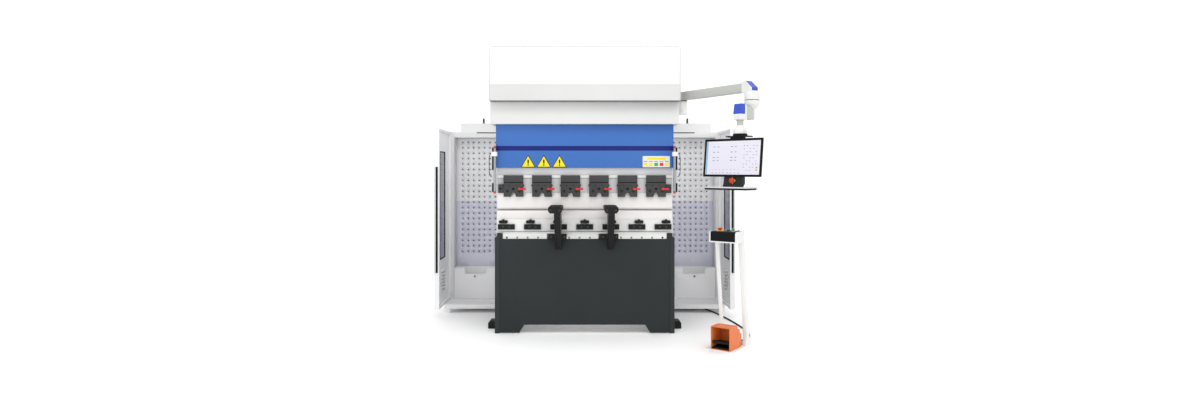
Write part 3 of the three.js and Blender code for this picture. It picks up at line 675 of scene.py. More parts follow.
def make_guards():
    """A light guard at each end of the ram: silver strip, black housing and orange end caps."""
    for side, sign in SIDES:
        box = Corners(f"light_guard_{side}")
        low, high = box.z0, box.z1
        y0, y1 = box.y0 + 4, box.y1 - 5.7
        guard = Shape(mirrored(sign))
        strip_in, strip_out, case_out = GUARD_X
        cap = 17
        guard.box(strip_in, strip_out, y0 + 3, y1 - 3, low + cap, high - cap, GUARD_STRIP)
        for z0, z1 in ((low + cap - 6, GUARD_GAP[0]), (GUARD_GAP[1], high - cap + 6)):
            guard.box(strip_out + 0.6, case_out, y0, y1, z0, z1, BLACK_PLASTIC_AND_SHADE)
        guard.box(strip_out + 0.6, case_out - 3, y0 + 4, y1, GUARD_GAP[0] - 2, GUARD_GAP[1] + 2, SILVER)
        for z0, z1 in ((low, low + cap), (high - cap, high)):
            guard.prism(rounded(strip_in, strip_out, z0, z1, 5), "Y", y0, y1, GUARD_CAP)
        guard.finish(f"light_guard_case_{side}", "ram", 1, "black_plastic", [f"light_guard_{side}"])
        bracket = Shape(mirrored(sign))
        bracket.box(613, box.outer, box.y1 - 5, box.y1, *GUARD_BRACKET_Z, WHITE)
        bracket.box(646, 650, y0, box.y1 - 1, *GUARD_BRACKET_Z, WHITE)
        bracket.box(613, 650, y0 - 3.8, y0 - 0.2, *GUARD_BRACKET_Z, WHITE)
        bracket.finish(f"light_guard_bracket_{side}", "ram", 1, "white_paint")
        hook = Shape(mirrored(sign))
        y = (y0 + y1) / 2
        route = [(645, y, 1255), (656, y, 1252), (664, y, 1238), (667, y, 1215), (667, y, 1130),
                 (664, y, 1105), (656, y, 1091), (645, y, 1088)]
        hook.tube(route, 2.2, BLACK_PLASTIC_AND_SHADE, 8)
        hook.finish(f"light_guard_handle_{side}", "ram", 0, "black_plastic")


WARNING_XS = (-397, -287, -177)
NOTICE_X = (407, 598)


def make_signs():
    """Three plain warning triangles and a plain notice plate, with no words or symbols copied."""
    face = RAM.y0
    signs = Shape()
    for x in WARNING_XS:
        for size, lift, paint in ((51, 0.5, BLACK_PLASTIC_AND_SHADE), (44, 0.8, YELLOW)):
            low = RAM.z0 + 4 + 0.58 * (51 - size)
            points = [(x - size, low), (x + size, low), (x, low + 1.68 * size)]
            signs.prism(points, "Y", face - lift, face + 0.1, paint)
        signs.box(x - 5, x + 5, face - 1.1, face, RAM.z0 + 30, RAM.z0 + 58, BLACK_PLASTIC_AND_SHADE)
        signs.disc((x, face, RAM.z0 + 20), 5.5, -1.1, BLACK_PLASTIC_AND_SHADE)
    signs.finish("warning_triangles", "ram", 0, "black_plastic")
    plate = Shape()
    x0, x1 = NOTICE_X
    z0 = RAM.z0 + 5
    plate.prism(rounded(x0, x1, z0, z0 + 78, 4), "Y", face - 0.6, face + 0.1, WHITE_PLASTIC)
    marks = [YELLOW, YELLOW, GREEN, RED, YELLOW]
    for i in range(5):
        x = x0 + 20 + 37.5 * i
        plate.box(x - 13, x + 13, face - 0.9, face, z0 + 8, z0 + 30, marks[i])
        plate.box(x - 13, x + 13, face - 0.9, face, z0 + 38, z0 + 41, BLACK_PLASTIC_AND_SHADE)
    plate.box(x0 + 30, x1 - 30, face - 0.9, face, z0 + 52, z0 + 68, YELLOW)
    plate.finish("notice_plate", "ram", 0, "white_plastic")


# ---------------------------------------------------------------- head
LOWER_COVER = Corners("lower_cover")


def dress_head():
    dress("hood", HOOD_WHITE, 3)
    dress("lower_cover", SHADED_COVER_WHITE, 2)
    dress("top_cross_beam", WHITE, 2)


def make_head_details():
    """Seam and edge strips on the hood, a dark strip painted as the hood's shadow on the cover below, cover
    screws and the vents at the back.
    """
    seams_and_shadow = Shape()
    y0, y1 = HOOD.y0, HOOD.y1
    half = HOOD.x1
    z = HOOD_BAND_TOP
    seams_and_shadow.box(-half + 4, half - 4, y0 - 0.4, y0 + 1, z - 1, z + 1, GREY_PAINT)
    for side in (-1, 1):
        seams_and_shadow.box(*span(side, half - 1, half + 0.4), y0 + 4, y1 - 4, z - 1, z + 1, GREY_PAINT)
    z = HOOD.z1
    seams_and_shadow.box(-half + 14, half - 14, y0 - 0.4, y0 + 1, z - 5, z - 2, GREY_PAINT)
    for side in (-1, 1):
        seams_and_shadow.box(*span(side, half - 5, half - 2), y0 - 0.4, y0 + 1, HOOD.z0 + 2, z - 14, GREY_PAINT)
    # A dark grey strip under the hood's front edge: painted shadow of the hood on the cover.
    shadow_bottom = HOOD.z0 - 5
    seams_and_shadow.box(-half + 8, half - 8, y0 + 2, LOWER_COVER.y0, shadow_bottom, HOOD.z0 + 1, SHADE_GREY)
    seams_and_shadow.finish("hood_seams_and_painted_shadow", "root", 0, "white_paint")
    screws = Shape()
    for side in (-1, 1):
        for i in range(4):
            y = y0 + 60 + 250 * i
            screws.disc((side * half, y, HOOD.z0 + 40), 8, side * 3, SILVER, "X")
            screws.disc((side * half, y, HOOD.z1 - 60), 8, side * 3, SILVER, "X")
    for x in (-500, 0, 500):
        screws.disc((x, y1, HOOD.z0 + 40), 8, 3, SILVER)
    screws.finish("hood_screws", "root", 0, "bright_steel")
    vents = Shape()
    for x in (-330, 330):
        for i in range(9):
            z = HOOD.z0 + 90 + 22 * i
            profile = [(y1 - 0.5, z), (y1 + 5, z), (y1 + 1, z + 14), (y1 - 0.5, z + 14)]
            vents.prism(profile, "X", x - 160, x + 160, GREY_PAINT)
    vents.finish("hood_vents", "root", 0.6, "cast_grey")


# ---------------------------------------------------------------- back gauge
def dress_gauge():
    dress("gauge_beam", RAIL_METAL, 1.5)
    for side, _ in SIDES:
        dress(f"gauge_finger_{side}", DARK_STEEL, 1.2)


# ---------------------------------------------------------------- tool cabinets
HOLE_PITCH = 46
HOLE_RADIUS = 5.6
HOLE_ROWS = 21
FIRST_COLUMN = 799
FIRST_ROW = 449
CABINET_FRONT = BED_FRONT + 949
# Heights and inner ends of the painted shadow strip under each cabinet's header.
HEADER_SHADOW_Z = (1440.5, 1448.5)
HEADER_SHADOW_ENDS = {"right": 912, "left": 895}
EYE_XS = {"right": 864, "left": 850}
EYE_Y = BED_FRONT + 1040
LOCK_X, LOCK_Z = 911, 255
DOOR_SKIN = 18
PANE_Y = (BED_FRONT + 581, BED_FRONT + 784)
PANE_Z = (435, 1282)
PANE_RIM = 8
LOUVRE_Y = (BED_FRONT + 645, BED_FRONT + 730)
LOUVRE_ZS = [178 + 26.5 * i for i in range(7)]
HANDLE_Z = (352, 1159)


def peg_axis(low, high, centres):
    """Grid lines through a perforated sheet: its two edges, and three for every row of holes."""
    half = HOLE_PITCH / 2
    lines = {round(low, 3), round(high, 3)}
    for centre in centres:
        lines.update(round(centre + step, 3) for step in (-half, 0, half))
    return sorted(lines)


def quarter_hole(x, z, sx, sz):
    """The part of a sheet's cell around a hole at (x, z) that lies towards (sx, sz), as two outlines."""
    half = HOLE_PITCH / 2
    arc = []
    for i in range(5):
        angle = math.radians(22.5 * i)
        arc.append((x + sx * HOLE_RADIUS * math.cos(angle), z + sz * HOLE_RADIUS * math.sin(angle)))
    corner = (x + sx * half, z + sz * half)
    beside, above = (x + sx * half, z), (x, z + sz * half)
    return [[beside, corner, arc[2], arc[1], arc[0]], [corner, above, arc[4], arc[3], arc[2]]]


def make_pegboard(side, sign):
    """A sheet with rows of round holes, built cell by cell."""
    board = Corners(f"pegboard_{side}")
    inner, outer = board.inner, board.outer
    columns = [FIRST_COLUMN + HOLE_PITCH * i for i in range(-3, 6)]
    rows = [FIRST_ROW + HOLE_PITCH * i for i in range(HOLE_ROWS)]
    half = HOLE_PITCH / 2
    sheet = Shape(mirrored(sign))
    y = board.y0 + 1

    def patch(outline):
        sheet.mesh([(x, y, z) for x, z in outline], [list(range(len(outline)))], PEGBOARD_PAINT_AND_SHEEN)

    xs = peg_axis(inner, outer, columns)
    zs = peg_axis(board.z0, board.z1, rows)
    for x0, x1 in zip(xs, xs[1:]):
        for z0, z1 in zip(zs, zs[1:]):
            x_mid, z_mid = (x0 + x1) / 2, (z0 + z1) / 2
            column = next((c for c in columns if abs(x_mid - c) < half), None)
            row = next((r for r in rows if abs(z_mid - r) < half), None)
            if column is None or row is None:
                patch([(x0, z0), (x1, z0), (x1, z1), (x0, z1)])
                continue
            sx, sz = math.copysign(1, x_mid - column), math.copysign(1, z_mid - row)
            for outline in quarter_hole(column, row, sx, sz):
                patch(outline)
    bmesh.ops.remove_doubles(sheet.bm, verts=sheet.bm.verts, dist=0.00002)
    piece = sheet.finish(f"pegboard_sheet_{side}", "root", 0, "peg_steel", [f"pegboard_{side}"])
    thick = piece.modifiers.new("sheet", "SOLIDIFY")
    thick.thickness = 1.5 * MM
    thick.offset = 0
    # A dark grey sheet behind the holes: painted shade seen through them.
    shade_sheet = Shape(mirrored(sign))
    shade_sheet.box(inner + 2, outer - 2, y + 30, y + 31, board.z0, board.z1, SHADE_GREY)
    shade_sheet.finish(f"pegboard_shade_sheet_{side}", "root", 0, "bed_paint")


def make_cabinet(side, sign):
    """Finish, a dark strip painted as the shadow under the header, lifting eye and bin lock of one cabinet.
    """
    dress(f"tool_cabinet_{side}", CABINET_WHITE, 2)
    # The bin takes the whiter inner copy: painted light.
    dress(f"cabinet_bin_{side}", LIT_INNER_WHITE, 1.5)
    box = Corners(f"tool_cabinet_{side}")
    header_shadow = Shape(mirrored(sign))
    # A near-black strip below the header's front edge: painted shadow of the header.
    header_shadow.box(650, HEADER_SHADOW_ENDS[side], CABINET_FRONT - 0.6, CABINET_FRONT + 1, *HEADER_SHADOW_Z, NEAR_BLACK)
    header_shadow.finish(f"cabinet_header_shadow_{side}", "root", 0, "bed_paint")
    eye = Shape(mirrored(sign))
    centre = Vector((EYE_XS[side], EYE_Y, box.z1 - 22.5))
    turns = [2 * math.pi * i / 28 for i in range(28)]
    ring_points = [centre + 17 * Vector((0, math.cos(t), math.sin(t))) for t in turns]
    eye.tube(ring_points, 6.2, DARK_STEEL, 12, closed=True)
    stem = [(0, -1), (15, 0), (15, 5), (10, 8), (10, 10), (0, 10)]
    eye.lathe(stem, DARK_STEEL, (centre.x, centre.y, box.z1 - 49), steps=20)
    eye.finish(f"lifting_eye_{side}", "root", 0, "black_steel")
    lock = Shape(mirrored(sign))
    lock.disc((LOCK_X, CABINET_FRONT + 1.2, LOCK_Z), 11, -5, SILVER)
    lock.disc((LOCK_X, CABINET_FRONT - 3.6, LOCK_Z), 6, -1.5, BLACK_PLASTIC_AND_SHADE)
    lock.finish(f"bin_lock_{side}", f"bin_{side}", 0, "bright_steel")


def make_door(side, sign):
    """A folded door leaf with a tall tinted window, louvres and a two-tone handle strip."""
    leaf = Corners(f"cabinet_door_{side}")
    inner, outer = leaf.inner, leaf.outer
    front, back = leaf.y0 + 8, leaf.y1
    rim = 20
    mirror = mirrored(sign)
    door = Shape(mirror)
    door.box(inner, outer, front, back, leaf.z0, leaf.z1, CABINET_WHITE)
    # The recess's cut faces take the whiter inner copy: painted light.
    cutter = Shape(mirror)
    cutter.box(inner - 5, inner + DOOR_SKIN, front + rim, back - rim, leaf.z0 + rim, leaf.z1 - rim,
               LIT_INNER_WHITE)
    door.carve(cutter)
    holes = Shape(mirror)
    holes.box(inner - 5, outer + 5, *PANE_Y, *PANE_Z, WHITE)
    y0, y1 = LOUVRE_Y
    for z in LOUVRE_ZS:
        slot = [(y0, z), (y1, z + 9), (y1, z + 21), (y0, z + 12)]
        holes.prism(slot, "X", inner + DOOR_SKIN + 4, outer + 5, WHITE)
    door.carve(holes)
    for z in LOUVRE_ZS:
        fin = [(y0, z), (y1, z + 9), (y1, z + 20), (y0, z + 14)]
        door.prism(fin, "X", inner + 2, inner + DOOR_SKIN - 0.2, HOOD_WHITE)
    door.finish(f"door_leaf_{side}", f"door_{side}", 1.5, "white_paint", [f"cabinet_door_{side}"])
    pane = Shape(mirror)
    pane.box(inner + DOOR_SKIN + 2, inner + DOOR_SKIN + 7, *PANE_Y, *PANE_Z, SLATE)
    depth = (inner + DOOR_SKIN - 2, inner + DOOR_SKIN + 2)
    y0, y1 = PANE_Y
    for low, high in ((y0, y0 + PANE_RIM), (y1 - PANE_RIM, y1)):
        pane.box(*depth, low, high, *PANE_Z, RUBBER_AND_SHADE_BLACK)
    z0, z1 = PANE_Z
    for low, high in ((z0, z0 + PANE_RIM), (z1 - PANE_RIM, z1)):
        pane.box(*depth, y0 + PANE_RIM, y1 - PANE_RIM, low, high, RUBBER_AND_SHADE_BLACK)
    pane.finish(f"door_window_{side}", f"door_{side}", 0.8, "black_plastic")
    handle = Shape(mirror)
    handle.box(1119.3, 1133, leaf.y0, front + 0.5, *HANDLE_Z, BLACK_PLASTIC_AND_SHADE)
    handle.box(1133.4, 1145, leaf.y0, front + 0.5, *HANDLE_Z, SILVER)
    handle.finish(f"door_handle_{side}", f"door_{side}", 1.2, "black_plastic")
    pins = Shape(mirror)
    for z in (leaf.z0 + 90, (leaf.z0 + leaf.z1) / 2, leaf.z1 - 150):
        pins.lathe(drum(4.5, 0, 60), SILVER, (outer - 5, back + 3.8, z), steps=16)
    pins.finish(f"door_hinges_{side}", "root", 0.6, "bright_steel")


# ---------------------------------------------------------------- control pendant
def row_point(x, y):
    """A floor point given from the centre plane and back from the bed's front."""
    return x, BED_FRONT + y


SHOULDER = row_point(695, 110)
ELBOW = row_point(1054, -459)
WRIST = row_point(965, -524)
MONITOR_YAW = -45
PANEL_X = -14  # the screen's middle, beside the swivel
SPLIT = 1573


def towards(start, end):
    """Frames at start and at end whose +X runs from start to end, and the distance between them."""
    dx, dy = end[0] - start[0], end[1] - start[1]
    turn = math.degrees(math.atan2(dy, dx))
    return placed(start, turn), placed(end, turn), math.hypot(dx, dy)


def make_arm():
    """A square beam, a white elbow housing with a sloped blue cap, and the round joint under it."""
    shoulder, elbow, reach = towards(SHOULDER, ELBOW)
    beam = Shape(shoulder)
    beam.prism(rounded(-22, 22, 1629, 1689, 5, 3), "X", 10, reach - 50, GREY_PAINT)
    beam.lathe([(0, 1629), (31, 1629), (33, 1631), (33, 1687), (31, 1689), (0, 1689)], GREY_PAINT)
    beam.finish("arm_beam", "arm", 1, "arm_grey", ["pendant_arm"])
    housing = Shape(elbow)
    side = [(-62, 1624), (24, 1624), (24, 1653), (-28, 1699), (-62, 1699)]
    housing.prism(side, "Y", -31, 31, WHITE_PLASTIC)
    round_joint = [(0, SPLIT + 1.5), (44, SPLIT + 1.5), (47.5, SPLIT + 5), (48, 1619), (46, 1626), (38, 1631),
                   (0, 1632)]
    housing.lathe(round_joint, WHITE_PLASTIC, steps=48)
    housing.finish("elbow_housing", "arm", 3, "white_plastic")
    cap = Shape(elbow)
    slope = [(25, 1636), (25, 1654.5), (-27, 1700), (-42, 1700), (-42, 1694), (-30, 1694), (18, 1650),
             (18, 1636)]
    cap.prism(slope, "Y", -26, 26, BLUE_PLASTIC)
    cap.finish("elbow_cap", "arm", 1.5, "blue_paint")
    collar = Shape(shoulder)
    collar.lathe([(0, 1628.5), (30, 1628.5), (34.5, 1626.5), (34.5, 1622), (0, 1622)], DARK_STEEL)
    collar.lathe(drum(45.5, SPLIT, SPLIT + 2.5), CHARCOAL, (reach, 0, 0), steps=48)
    collar.finish("arm_collars", "arm", 0, "black_steel")


def make_link():
    """The bowl under the elbow, a deep grey bar and the wrist block with its blue cap."""
    elbow, wrist, reach = towards(ELBOW, WRIST)
    bowl = Shape(elbow)
    profile = [(0, SPLIT - 0.3), (46, SPLIT - 0.3), (48, SPLIT - 3), (48, 1553), (44, 1543), (34, 1532),
               (24, 1522), (0, 1518)]
    bowl.lathe(profile, WHITE_PLASTIC, steps=48)
    post = [(0, 1524), (20, 1524), (19.5, 1470), (17, 1454.5), (14, 1452), (0, 1452)]
    bowl.lathe(post, WHITE_PLASTIC, steps=40)
    bowl.finish("elbow_bowl", "link", 0, "white_plastic", ["pendant_link"])
    bar = Shape(elbow)
    side = [(4, 1530), (4, 1453), (reach - 24, 1453), (reach - 24, 1535), (12, 1535)]
    bar.prism(side, "Y", -18.5, 18.5, GREY_PAINT)
    under = Shape(elbow)
    under.box(18, reach - 36, -14.5, 14.5, 1440, 1470, CHARCOAL)
    bar.carve(under)
    bar.finish("link_bar", "link", 2, "arm_grey")
    block = Shape(wrist)
    outline = [(-32, 1447), (30, 1447), (30, 1492), (21, 1545.5), (-20, 1545.5), (-32, 1536)]
    block.prism(outline, "Y", -29, 29, WHITE_PLASTIC)
    block.finish("wrist_block", "link", 3.5, "white_plastic")
    cap = Shape(wrist)
    sleeve = [(-14, 1482), (30.8, 1482), (30.8, 1493), (21.6, 1547), (-14, 1547)]
    cap.prism(sleeve, "Y", -29.9, 29.9, BLUE_PLASTIC)
    cap.finish("wrist_cap", "link", 3, "blue_paint")
    tube = Shape(wrist)
    profile = [(0, 1413.5), (19.5, 1413.5), (20, 1415), (20, 1440.5), (25, 1441), (25, 1447.2), (0, 1447.2)]
    tube.lathe(profile, GREY_PAINT, steps=40)
    tube.finish("wrist_tube", "link", 0, "arm_grey")


SCREEN_LOW, SCREEN_HIGH = 1094, 1330
SCREEN_LEAN = 13  # the top edge stands this far back from the middle
STOP_Z = 1071


def leaning():
    """Shears the screen so that it leans back about its middle."""
    slope = 2 * SCREEN_LEAN / (SCREEN_HIGH - SCREEN_LOW)
    shear = Matrix.Identity(4)
    shear[1][2] = slope
    shear[1][3] = -slope * (SCREEN_LOW + SCREEN_HIGH) / 2
    return shear


def make_monitor():
    """Bell joint, collar, casing with a bezel around the screen, stop panel and a shallow tray."""
    place = placed(WRIST, MONITOR_YAW)
    bell = Shape(place)
    profile = [(0, 1413), (21, 1413), (22, 1409), (33, 1397), (40, 1384), (41, 1378),
               (41, 1362), (39, 1360.5), (0, 1360.5)]
    bell.lathe(profile, WHITE_PLASTIC, steps=48)
    bell.finish("wrist_bell", "panel", 0, "white_plastic")
    mount = Shape(place)
    mount.lathe([(0, 1360.5), (43, 1360.5), (45, 1358), (45, 1346.5), (0, 1346.5)], BLACK_PLASTIC_AND_SHADE,
                steps=40)
    mount.prism(rounded(-77, 77, -52, 30, 12), "Z", 1339, 1347, BLACK_PLASTIC_AND_SHADE)
    mount.box(-45, 45, -42, -8, 1270, 1340, NEAR_BLACK)
    mount.finish("monitor_mount", "panel", 1.5, "black_steel")
    make_monitor_case(place @ leaning())
    make_stop_panel(place @ Matrix.Translation((PANEL_X, 0, 0)))
    make_tray(place @ Matrix.Translation((PANEL_X, 0, 0)))


def make_monitor_case(place):
    """The casing, its bezel, the vents at the back and the screen."""
    x0, x1 = PANEL_X - 208, PANEL_X + 208
    y0, y1 = -68, -32
    low, high = SCREEN_LOW, SCREEN_HIGH
    rim = 14
    edge = y0 + 9  # the bezel is thin, and the casing behind it is set in
    case = Shape(place)
    case.prism(rounded(x0, x1, low, high, 5), "Y", y0, edge, BEZEL)
    window = Shape(place)
    window.prism(rounded(x0 + rim, x1 - rim, low + rim, high - rim, 2), "Y", y0 - 5, y0 + 2.5, BEZEL)
    case.carve(window)
    case.prism(rounded(x0 + 20, x1 - 20, low + 14, high - 14, 8), "Y", edge, y1 - 1, NEAR_BLACK)
    for i in range(9):
        z = low + 50 + 9 * i
        case.box(PANEL_X - 90, PANEL_X + 90, y1 - 1, y1, z, z + 4, BLACK_PLASTIC_AND_SHADE)
    case.finish("monitor_case", "panel", 1.2, "black_plastic", ["monitor"])
    make_screen(place, (x0 + rim, x1 - rim), (low + rim, high - rim), y0 + 2.3)


def make_tray(place):
    """A shallow shelf: dark edge, light top with a long well, and white end caps."""
    half, front, back = 150, -150, -16
    low, high = 1014.2, 1031.8
    tray = Shape(place)
    tray.prism(rounded(-half, half, front, back, 8), "Z", low, high - 7, NEAR_BLACK)
    tray.prism(rounded(-half + 1, half - 1, front + 1, back - 1, 8), "Z", high - 6.8, high, RAIL_METAL)
    well = Shape(place)
    well.prism(rounded(-half + 15, half - 15, front + 14, back - 56, 6), "Z",
               high - 3, high + 8, RAIL_METAL)
    tray.carve(well)
    tray.finish("monitor_tray", "panel", 1, "black_steel")
    ends = Shape(place)
    for side in (-1, 1):
        ends.box(*span(side, half - 6, half + 0.4), back - 20, back + 0.4, low - 0.2, high + 0.2,
                 WHITE_PLASTIC)
    ends.finish("tray_ends", "panel", 1, "white_plastic")


def make_screen(place, across, up, y):
    """A lit screen with a side bar and plain rows of marks that spell nothing."""
    x0, x1 = across
    z0, z1 = up
    wide, tall = x1 - x0, z1 - z0
    screen = Shape(place)
    screen.box(x0, x1, y - 0.5, y + 0.5, z0, z1, SCREEN)
    screen.box(x0 + 2, x0 + 13, y - 0.9, y, z0 + 2, z1 - 2, SCREEN_BLUE)
    screen.box(x0 + 16, x1 - 3, y - 0.8, y, z1 - 9, z1 - 3, WHITE_PLASTIC)
    screen.box(x1 - 8, x1 - 3, y - 0.8, y, z0 + 3, z1 - 12, WHITE_PLASTIC)

    def mark(u, v, width, height, paint=SCREEN_MARK):
        x, z = x0 + u * wide, z0 + v * tall
        screen.box(x, x + width, y - 0.9, y, z, z + height, paint)

    for v in (0.82, 0.66, 0.50, 0.41):
        for u, width in ((0.13, 15), (0.21, 13), (0.46, 17), (0.54, 12)):
            mark(u, v, width, 4)
    for row in range(9):
        for column in range(5):
            if (row + 2 * column) % 3:
                mark(0.70 + 0.055 * column, 0.12 + 0.09 * row, 9, 3)
    for column in range(8):
        mark(0.12 + 0.07 * column, 0.04, 12, 3)
        mark(0.12 + 0.07 * column, 0.14, 8, 2)
    mark(0.935, 0.11, 9, 14, SCREEN_ORANGE)
    mark(0.935, 0.19, 9, 7, GREEN)
    screen.finish("monitor_screen", "panel", 0, "white_plastic")


def make_stop_panel(place):
    """A dark panel that carries the stop button on a yellow square plate."""
    panel = Shape(place)
    outline = [(-72, 1030), (58, 1030), (72, 1052), (72, 1100), (-60, 1100), (-66, 1060)]
    panel.prism(outline, "Y", -64, -36, CHARCOAL)
    bore = Shape(place)
    bore.lathe(drum(10, -66, -50), BLACK_PLASTIC_AND_SHADE, (0, 0, STOP_Z), "Y")
    panel.carve(bore)
    panel.finish("stop_panel", "panel", 2, "bed_paint")
    plate = Shape(place)
    diamond = [(-22, STOP_Z), (0, STOP_Z - 22), (22, STOP_Z), (0, STOP_Z + 22)]
    plate.prism(diamond, "Y", -64.9, -63.9, YELLOW)
    hole = Shape(place)
    hole.lathe(drum(10.5, -70, -60), YELLOW, (0, 0, STOP_Z), "Y")
    plate.carve(hole)
    plate.finish("stop_plate", "panel", 0.3, "orange_plastic")
    button = Shape(place)
    head = [(0, 0), (9, 0), (9, 9.8), (13, 10), (17, 12), (17, 16.5), (14, 20), (8, 21.2), (0, 21.6)]
    turned_head = [(radius, -61 - height) for radius, height in head]
    button.lathe(turned_head, RED, (0, 0, STOP_Z), "Y", steps=36)
    button.finish("stop_button", "panel_stop", 0, "red_plastic", ["pendant_stop_button"])


def dress_bracket():
    dress("pendant_bracket", WHITE, 2)


# ---------------------------------------------------------------- pedal stand
STAND_PLACE = placed(row_point(921, -366), -36)
STOP_BUTTON_X = -46
START_BUTTON_X = 44
BUTTON_Y = -18


def make_stand():
    dress("pedal_stand", WHITE, 1.5)
    make_stand_box()
    make_stand_buttons()
    make_pedal()


def make_stand_box():
    """A white folded shell open at the front and top, closed by a black panel set into it."""
    half, front, back, low, high = 93, -82, 48, 674, 746
    wall = 8
    side = [(front, low), (back, low), (back, high), (front + 12, high), (front, high - 9)]
    shell = Shape(STAND_PLACE)
    shell.prism(side, "X", -half, half, WHITE)
    hollow = Shape(STAND_PLACE)
    inner = [(front - 5, low + wall), (back - wall, low + wall), (back - wall, high + 5),
             (front - 5, high + 5)]
    hollow.prism(inner, "X", -half + wall, half - wall, WHITE)
    shell.carve(hollow)
    shell.finish("stand_box_shell", "root", 1.5, "white_paint", ["stand_box"])
    panel = Shape(STAND_PLACE)
    profile = [(front + 4, low + wall + 0.5), (back - wall - 0.5, low + wall + 0.5),
               (back - wall - 0.5, high - 2), (front + 12, high - 2), (front + 4, high - 9)]
    panel.prism(profile, "X", -half + wall + 0.5, half - wall - 0.5, BLACK_PLASTIC_AND_SHADE)
    bores = Shape(STAND_PLACE)
    for x, radius in ((STOP_BUTTON_X, 10), (START_BUTTON_X, 6)):
        bores.lathe(drum(radius, high - 12, high + 2), BLACK_PLASTIC_AND_SHADE, (x, BUTTON_Y, 0), steps=24)
    panel.carve(bores)
    panel.finish("stand_box_panel", "root", 1, "black_plastic")
    fittings = Shape(STAND_PLACE)
    top = high - 2
    for x, y in ((8, 6), (8, -22), (70, 6)):
        fittings.lathe(drum(9, top, top + 2.5), DARK_STEEL, (x, y, 0), steps=24)
        fittings.box(x - 2, x + 2, y - 8, y + 8, top + 2, top + 8, BLACK_PLASTIC_AND_SHADE)
    fittings.finish("stand_box_switches", "root", 0.6, "black_steel")


def ring(inner, outer, low, high):
    """The closed section of a washer, for a lathe."""
    return [(inner, low), (outer, low), (outer, high - 1), (outer - 1, high), (inner, high), (inner, low)]


def make_stand_buttons():
    top = 744
    collar = Shape(STAND_PLACE)
    collar.lathe(ring(10.5, 24, top, top + 3), YELLOW, (STOP_BUTTON_X, BUTTON_Y, 0), steps=36)
    collar.lathe(ring(6.5, 13, top, top + 2.5), SILVER, (START_BUTTON_X, BUTTON_Y, 0), steps=28)
    collar.finish("stand_button_rings", "root", 0, "orange_plastic")
    for name, x, radius, stem, paint, slot in (
            ("stop", STOP_BUTTON_X, 17, 9, RED, "red_plastic"),
            ("start", START_BUTTON_X, 9, 5, GREEN, "green_plastic")):
        button = Shape(STAND_PLACE)
        low = 752
        profile = [(0, 742), (stem, 742), (stem, low), (radius * 0.85, low + 0.6),
                   (radius, low + 3), (radius, low + 8), (radius * 0.85, low + 11.5),
                   (radius * 0.45, low + 12.7), (0, low + 13)]
        button.lathe(profile, paint, (x, BUTTON_Y, 0), steps=36)
        button.finish(f"stand_{name}_cap", f"stand_{name}", 0, slot, [f"stand_{name}_button"])


def make_pedal():
    """The guard hood, whose inside faces take a lighter orange as painted light, the ribbed pedal and the
    cable's tapered gland.
    """
    left, right, front, back = -53, 77, -142, 38
    floor, top, wall = 6.3, 151, 4.5
    outline = [(front, floor), (back, floor), (back, 88), (back - 22, 94), (back - 32, 122),
               (back - 54, 126), (back - 70, top), (front, top)]
    hood = Shape(STAND_PLACE)
    hood.prism(outline, "X", left, right, ORANGE)
    inside = Shape(STAND_PLACE)
    hollow = [(front - 5, floor + wall), (back - 12, floor + wall), (back - 26, 88),
              (back - 60, 120), (back - 76, top - wall), (front - 5, top - wall)]
    # The cut inside faces take the lighter orange: painted light.
    inside.prism(hollow, "X", left + wall, right - wall, LIT_INSIDE_ORANGE)
    hood.carve(inside)
    hood.finish("pedal_guard", "root", 2, "orange_plastic", ["pedal_hood"])
    x0, x1 = left + 8, right - 8
    pedal = Shape(STAND_PLACE)
    side = [(-134, 46), (-10, 23), (6, 23), (6, 35), (-10, 37), (-128, 59), (-134, 57)]
    pedal.prism(side, "X", x0, x1, RUBBER_AND_SHADE_BLACK)
    for i in range(12):
        y = -126 + 9 * i
        z = 59 - (y + 128) * 22 / 118
        rib = [(y, z - 1), (y + 4, z - 1.8), (y + 3.4, z + 1.6), (y + 0.8, z + 2.1)]
        pedal.prism(rib, "X", x0 + 3, x1 - 3, RUBBER_AND_SHADE_BLACK)
    pedal.finish("pedal_tread", "pedal", 0.8, "pedal_rubber", ["foot_pedal"])
    base = Shape(STAND_PLACE)
    base.box(x0 - 2, x1 + 2, front + 5, back - 24, floor + wall, 20, RUBBER_AND_SHADE_BLACK)
    base.finish("pedal_base", "root", 1, "pedal_rubber")
    sleeve = [(0, 8), (12, 8), (12, 18), (9.5, 23), (8.2, 26), (6.4, 38), (0, 38)]
    make_gland("pedal", Shape(STAND_PLACE), (20, back + 0.3, 30), "Y", sleeve)


def make_gland(end, gland, centre, axis, sleeve):
    """A six-sided nut at one end of the cable, with a rubber sleeve that tapers towards the cable."""
    nut = [(0, 0), (15, 0), (15, 8), (14, 9), (0, 9)]
    gland.lathe(nut, RUBBER_AND_SHADE_BLACK, centre, axis, steps=6)
    gland.lathe(sleeve, RUBBER_AND_SHADE_BLACK, centre, axis)
    gland.finish(f"{end}_strain_relief", "root", 0.4, "pedal_rubber", [f"{end}_gland"])


def make_machine_gland():
    node = Corners("machine_gland")
    sleeve = [(0, 8), (11, 8), (11, 17), (8.5, 22), (6.4, 32), (0, 32)]
    make_gland("machine", Shape(), (node.x0, node.y, node.z), "X", sleeve)


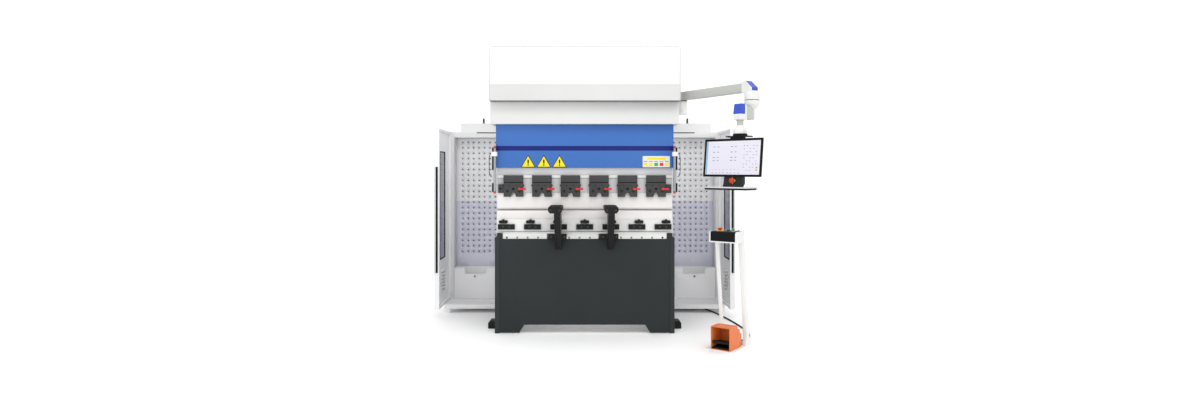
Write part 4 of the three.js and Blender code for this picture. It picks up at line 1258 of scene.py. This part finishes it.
# ---------------------------------------------------------------- stage and light, in metres
WORLD_STRENGTH = 1.15
FRONT_POWER = 14
KEY_POWER = 62
TOP_POWER = 12
FLOOR_REACH = 30  # from the middle to each edge


def make_stage():
    """A plain floor that runs out of the picture on every side."""
    mesh = bpy.data.meshes.new("floor")
    corners = [(x * FLOOR_REACH, y * FLOOR_REACH, 0) for x, y in ((-1, -1), (1, -1), (1, 1), (-1, 1))]
    mesh.from_pydata(corners, [], [(0, 1, 2, 3)])
    mesh.materials.append(FLOOR)
    add_object("floor", mesh)


def area_light(name, place, target, size, power):
    lamp = bpy.data.lights.new(name, "AREA")
    lamp.shape = "RECTANGLE"
    lamp.size, lamp.size_y = size
    lamp.energy = power
    light = add_object(name, lamp)
    light.location = place
    light.rotation_euler = (Vector(target) - Vector(place)).to_track_quat("-Z", "Y").to_euler()


def make_light():
    scene = bpy.context.scene
    world = bpy.data.worlds.new("studio")
    world.use_nodes = True
    background = world.node_tree.nodes["Background"]
    background.inputs["Color"].default_value = (1, 1, 1, 1)
    background.inputs["Strength"].default_value = WORLD_STRENGTH
    scene.world = world
    scene.view_settings.view_transform = "Standard"
    area_light("front_left", (-3.0, -5.8, 1.7), (0.2, 0, 1.0), (2.4, 2.4), FRONT_POWER)
    area_light("front_right", (3.0, -5.8, 1.7), (-0.2, 0, 1.0), (2.4, 2.4), FRONT_POWER)
    area_light("key", (0.3, -3.4, 5.0), (0, 0, 1.1), (3.2, 1.6), KEY_POWER)
    area_light("top", (0, 0.6, 4.6), (0, 0.2, 1.0), (4.0, 3.0), TOP_POWER)


# ---------------------------------------------------------------- the whole scene
def main():
    make_camera()
    make_cable()
    make_stage()
    make_light()
    dress_bed()
    make_die_clamps()
    make_rail_screws()
    make_supports()
    dress_ram()
    make_ram_ledge()
    make_clamp_fittings()
    make_guards()
    make_signs()
    dress_head()
    make_head_details()
    dress_gauge()
    for side, sign in SIDES:
        make_pegboard(side, sign)
        make_cabinet(side, sign)
        make_door(side, sign)
    dress_bracket()
    make_arm()
    make_link()
    make_monitor()
    make_stand()
    make_machine_gland()


main()
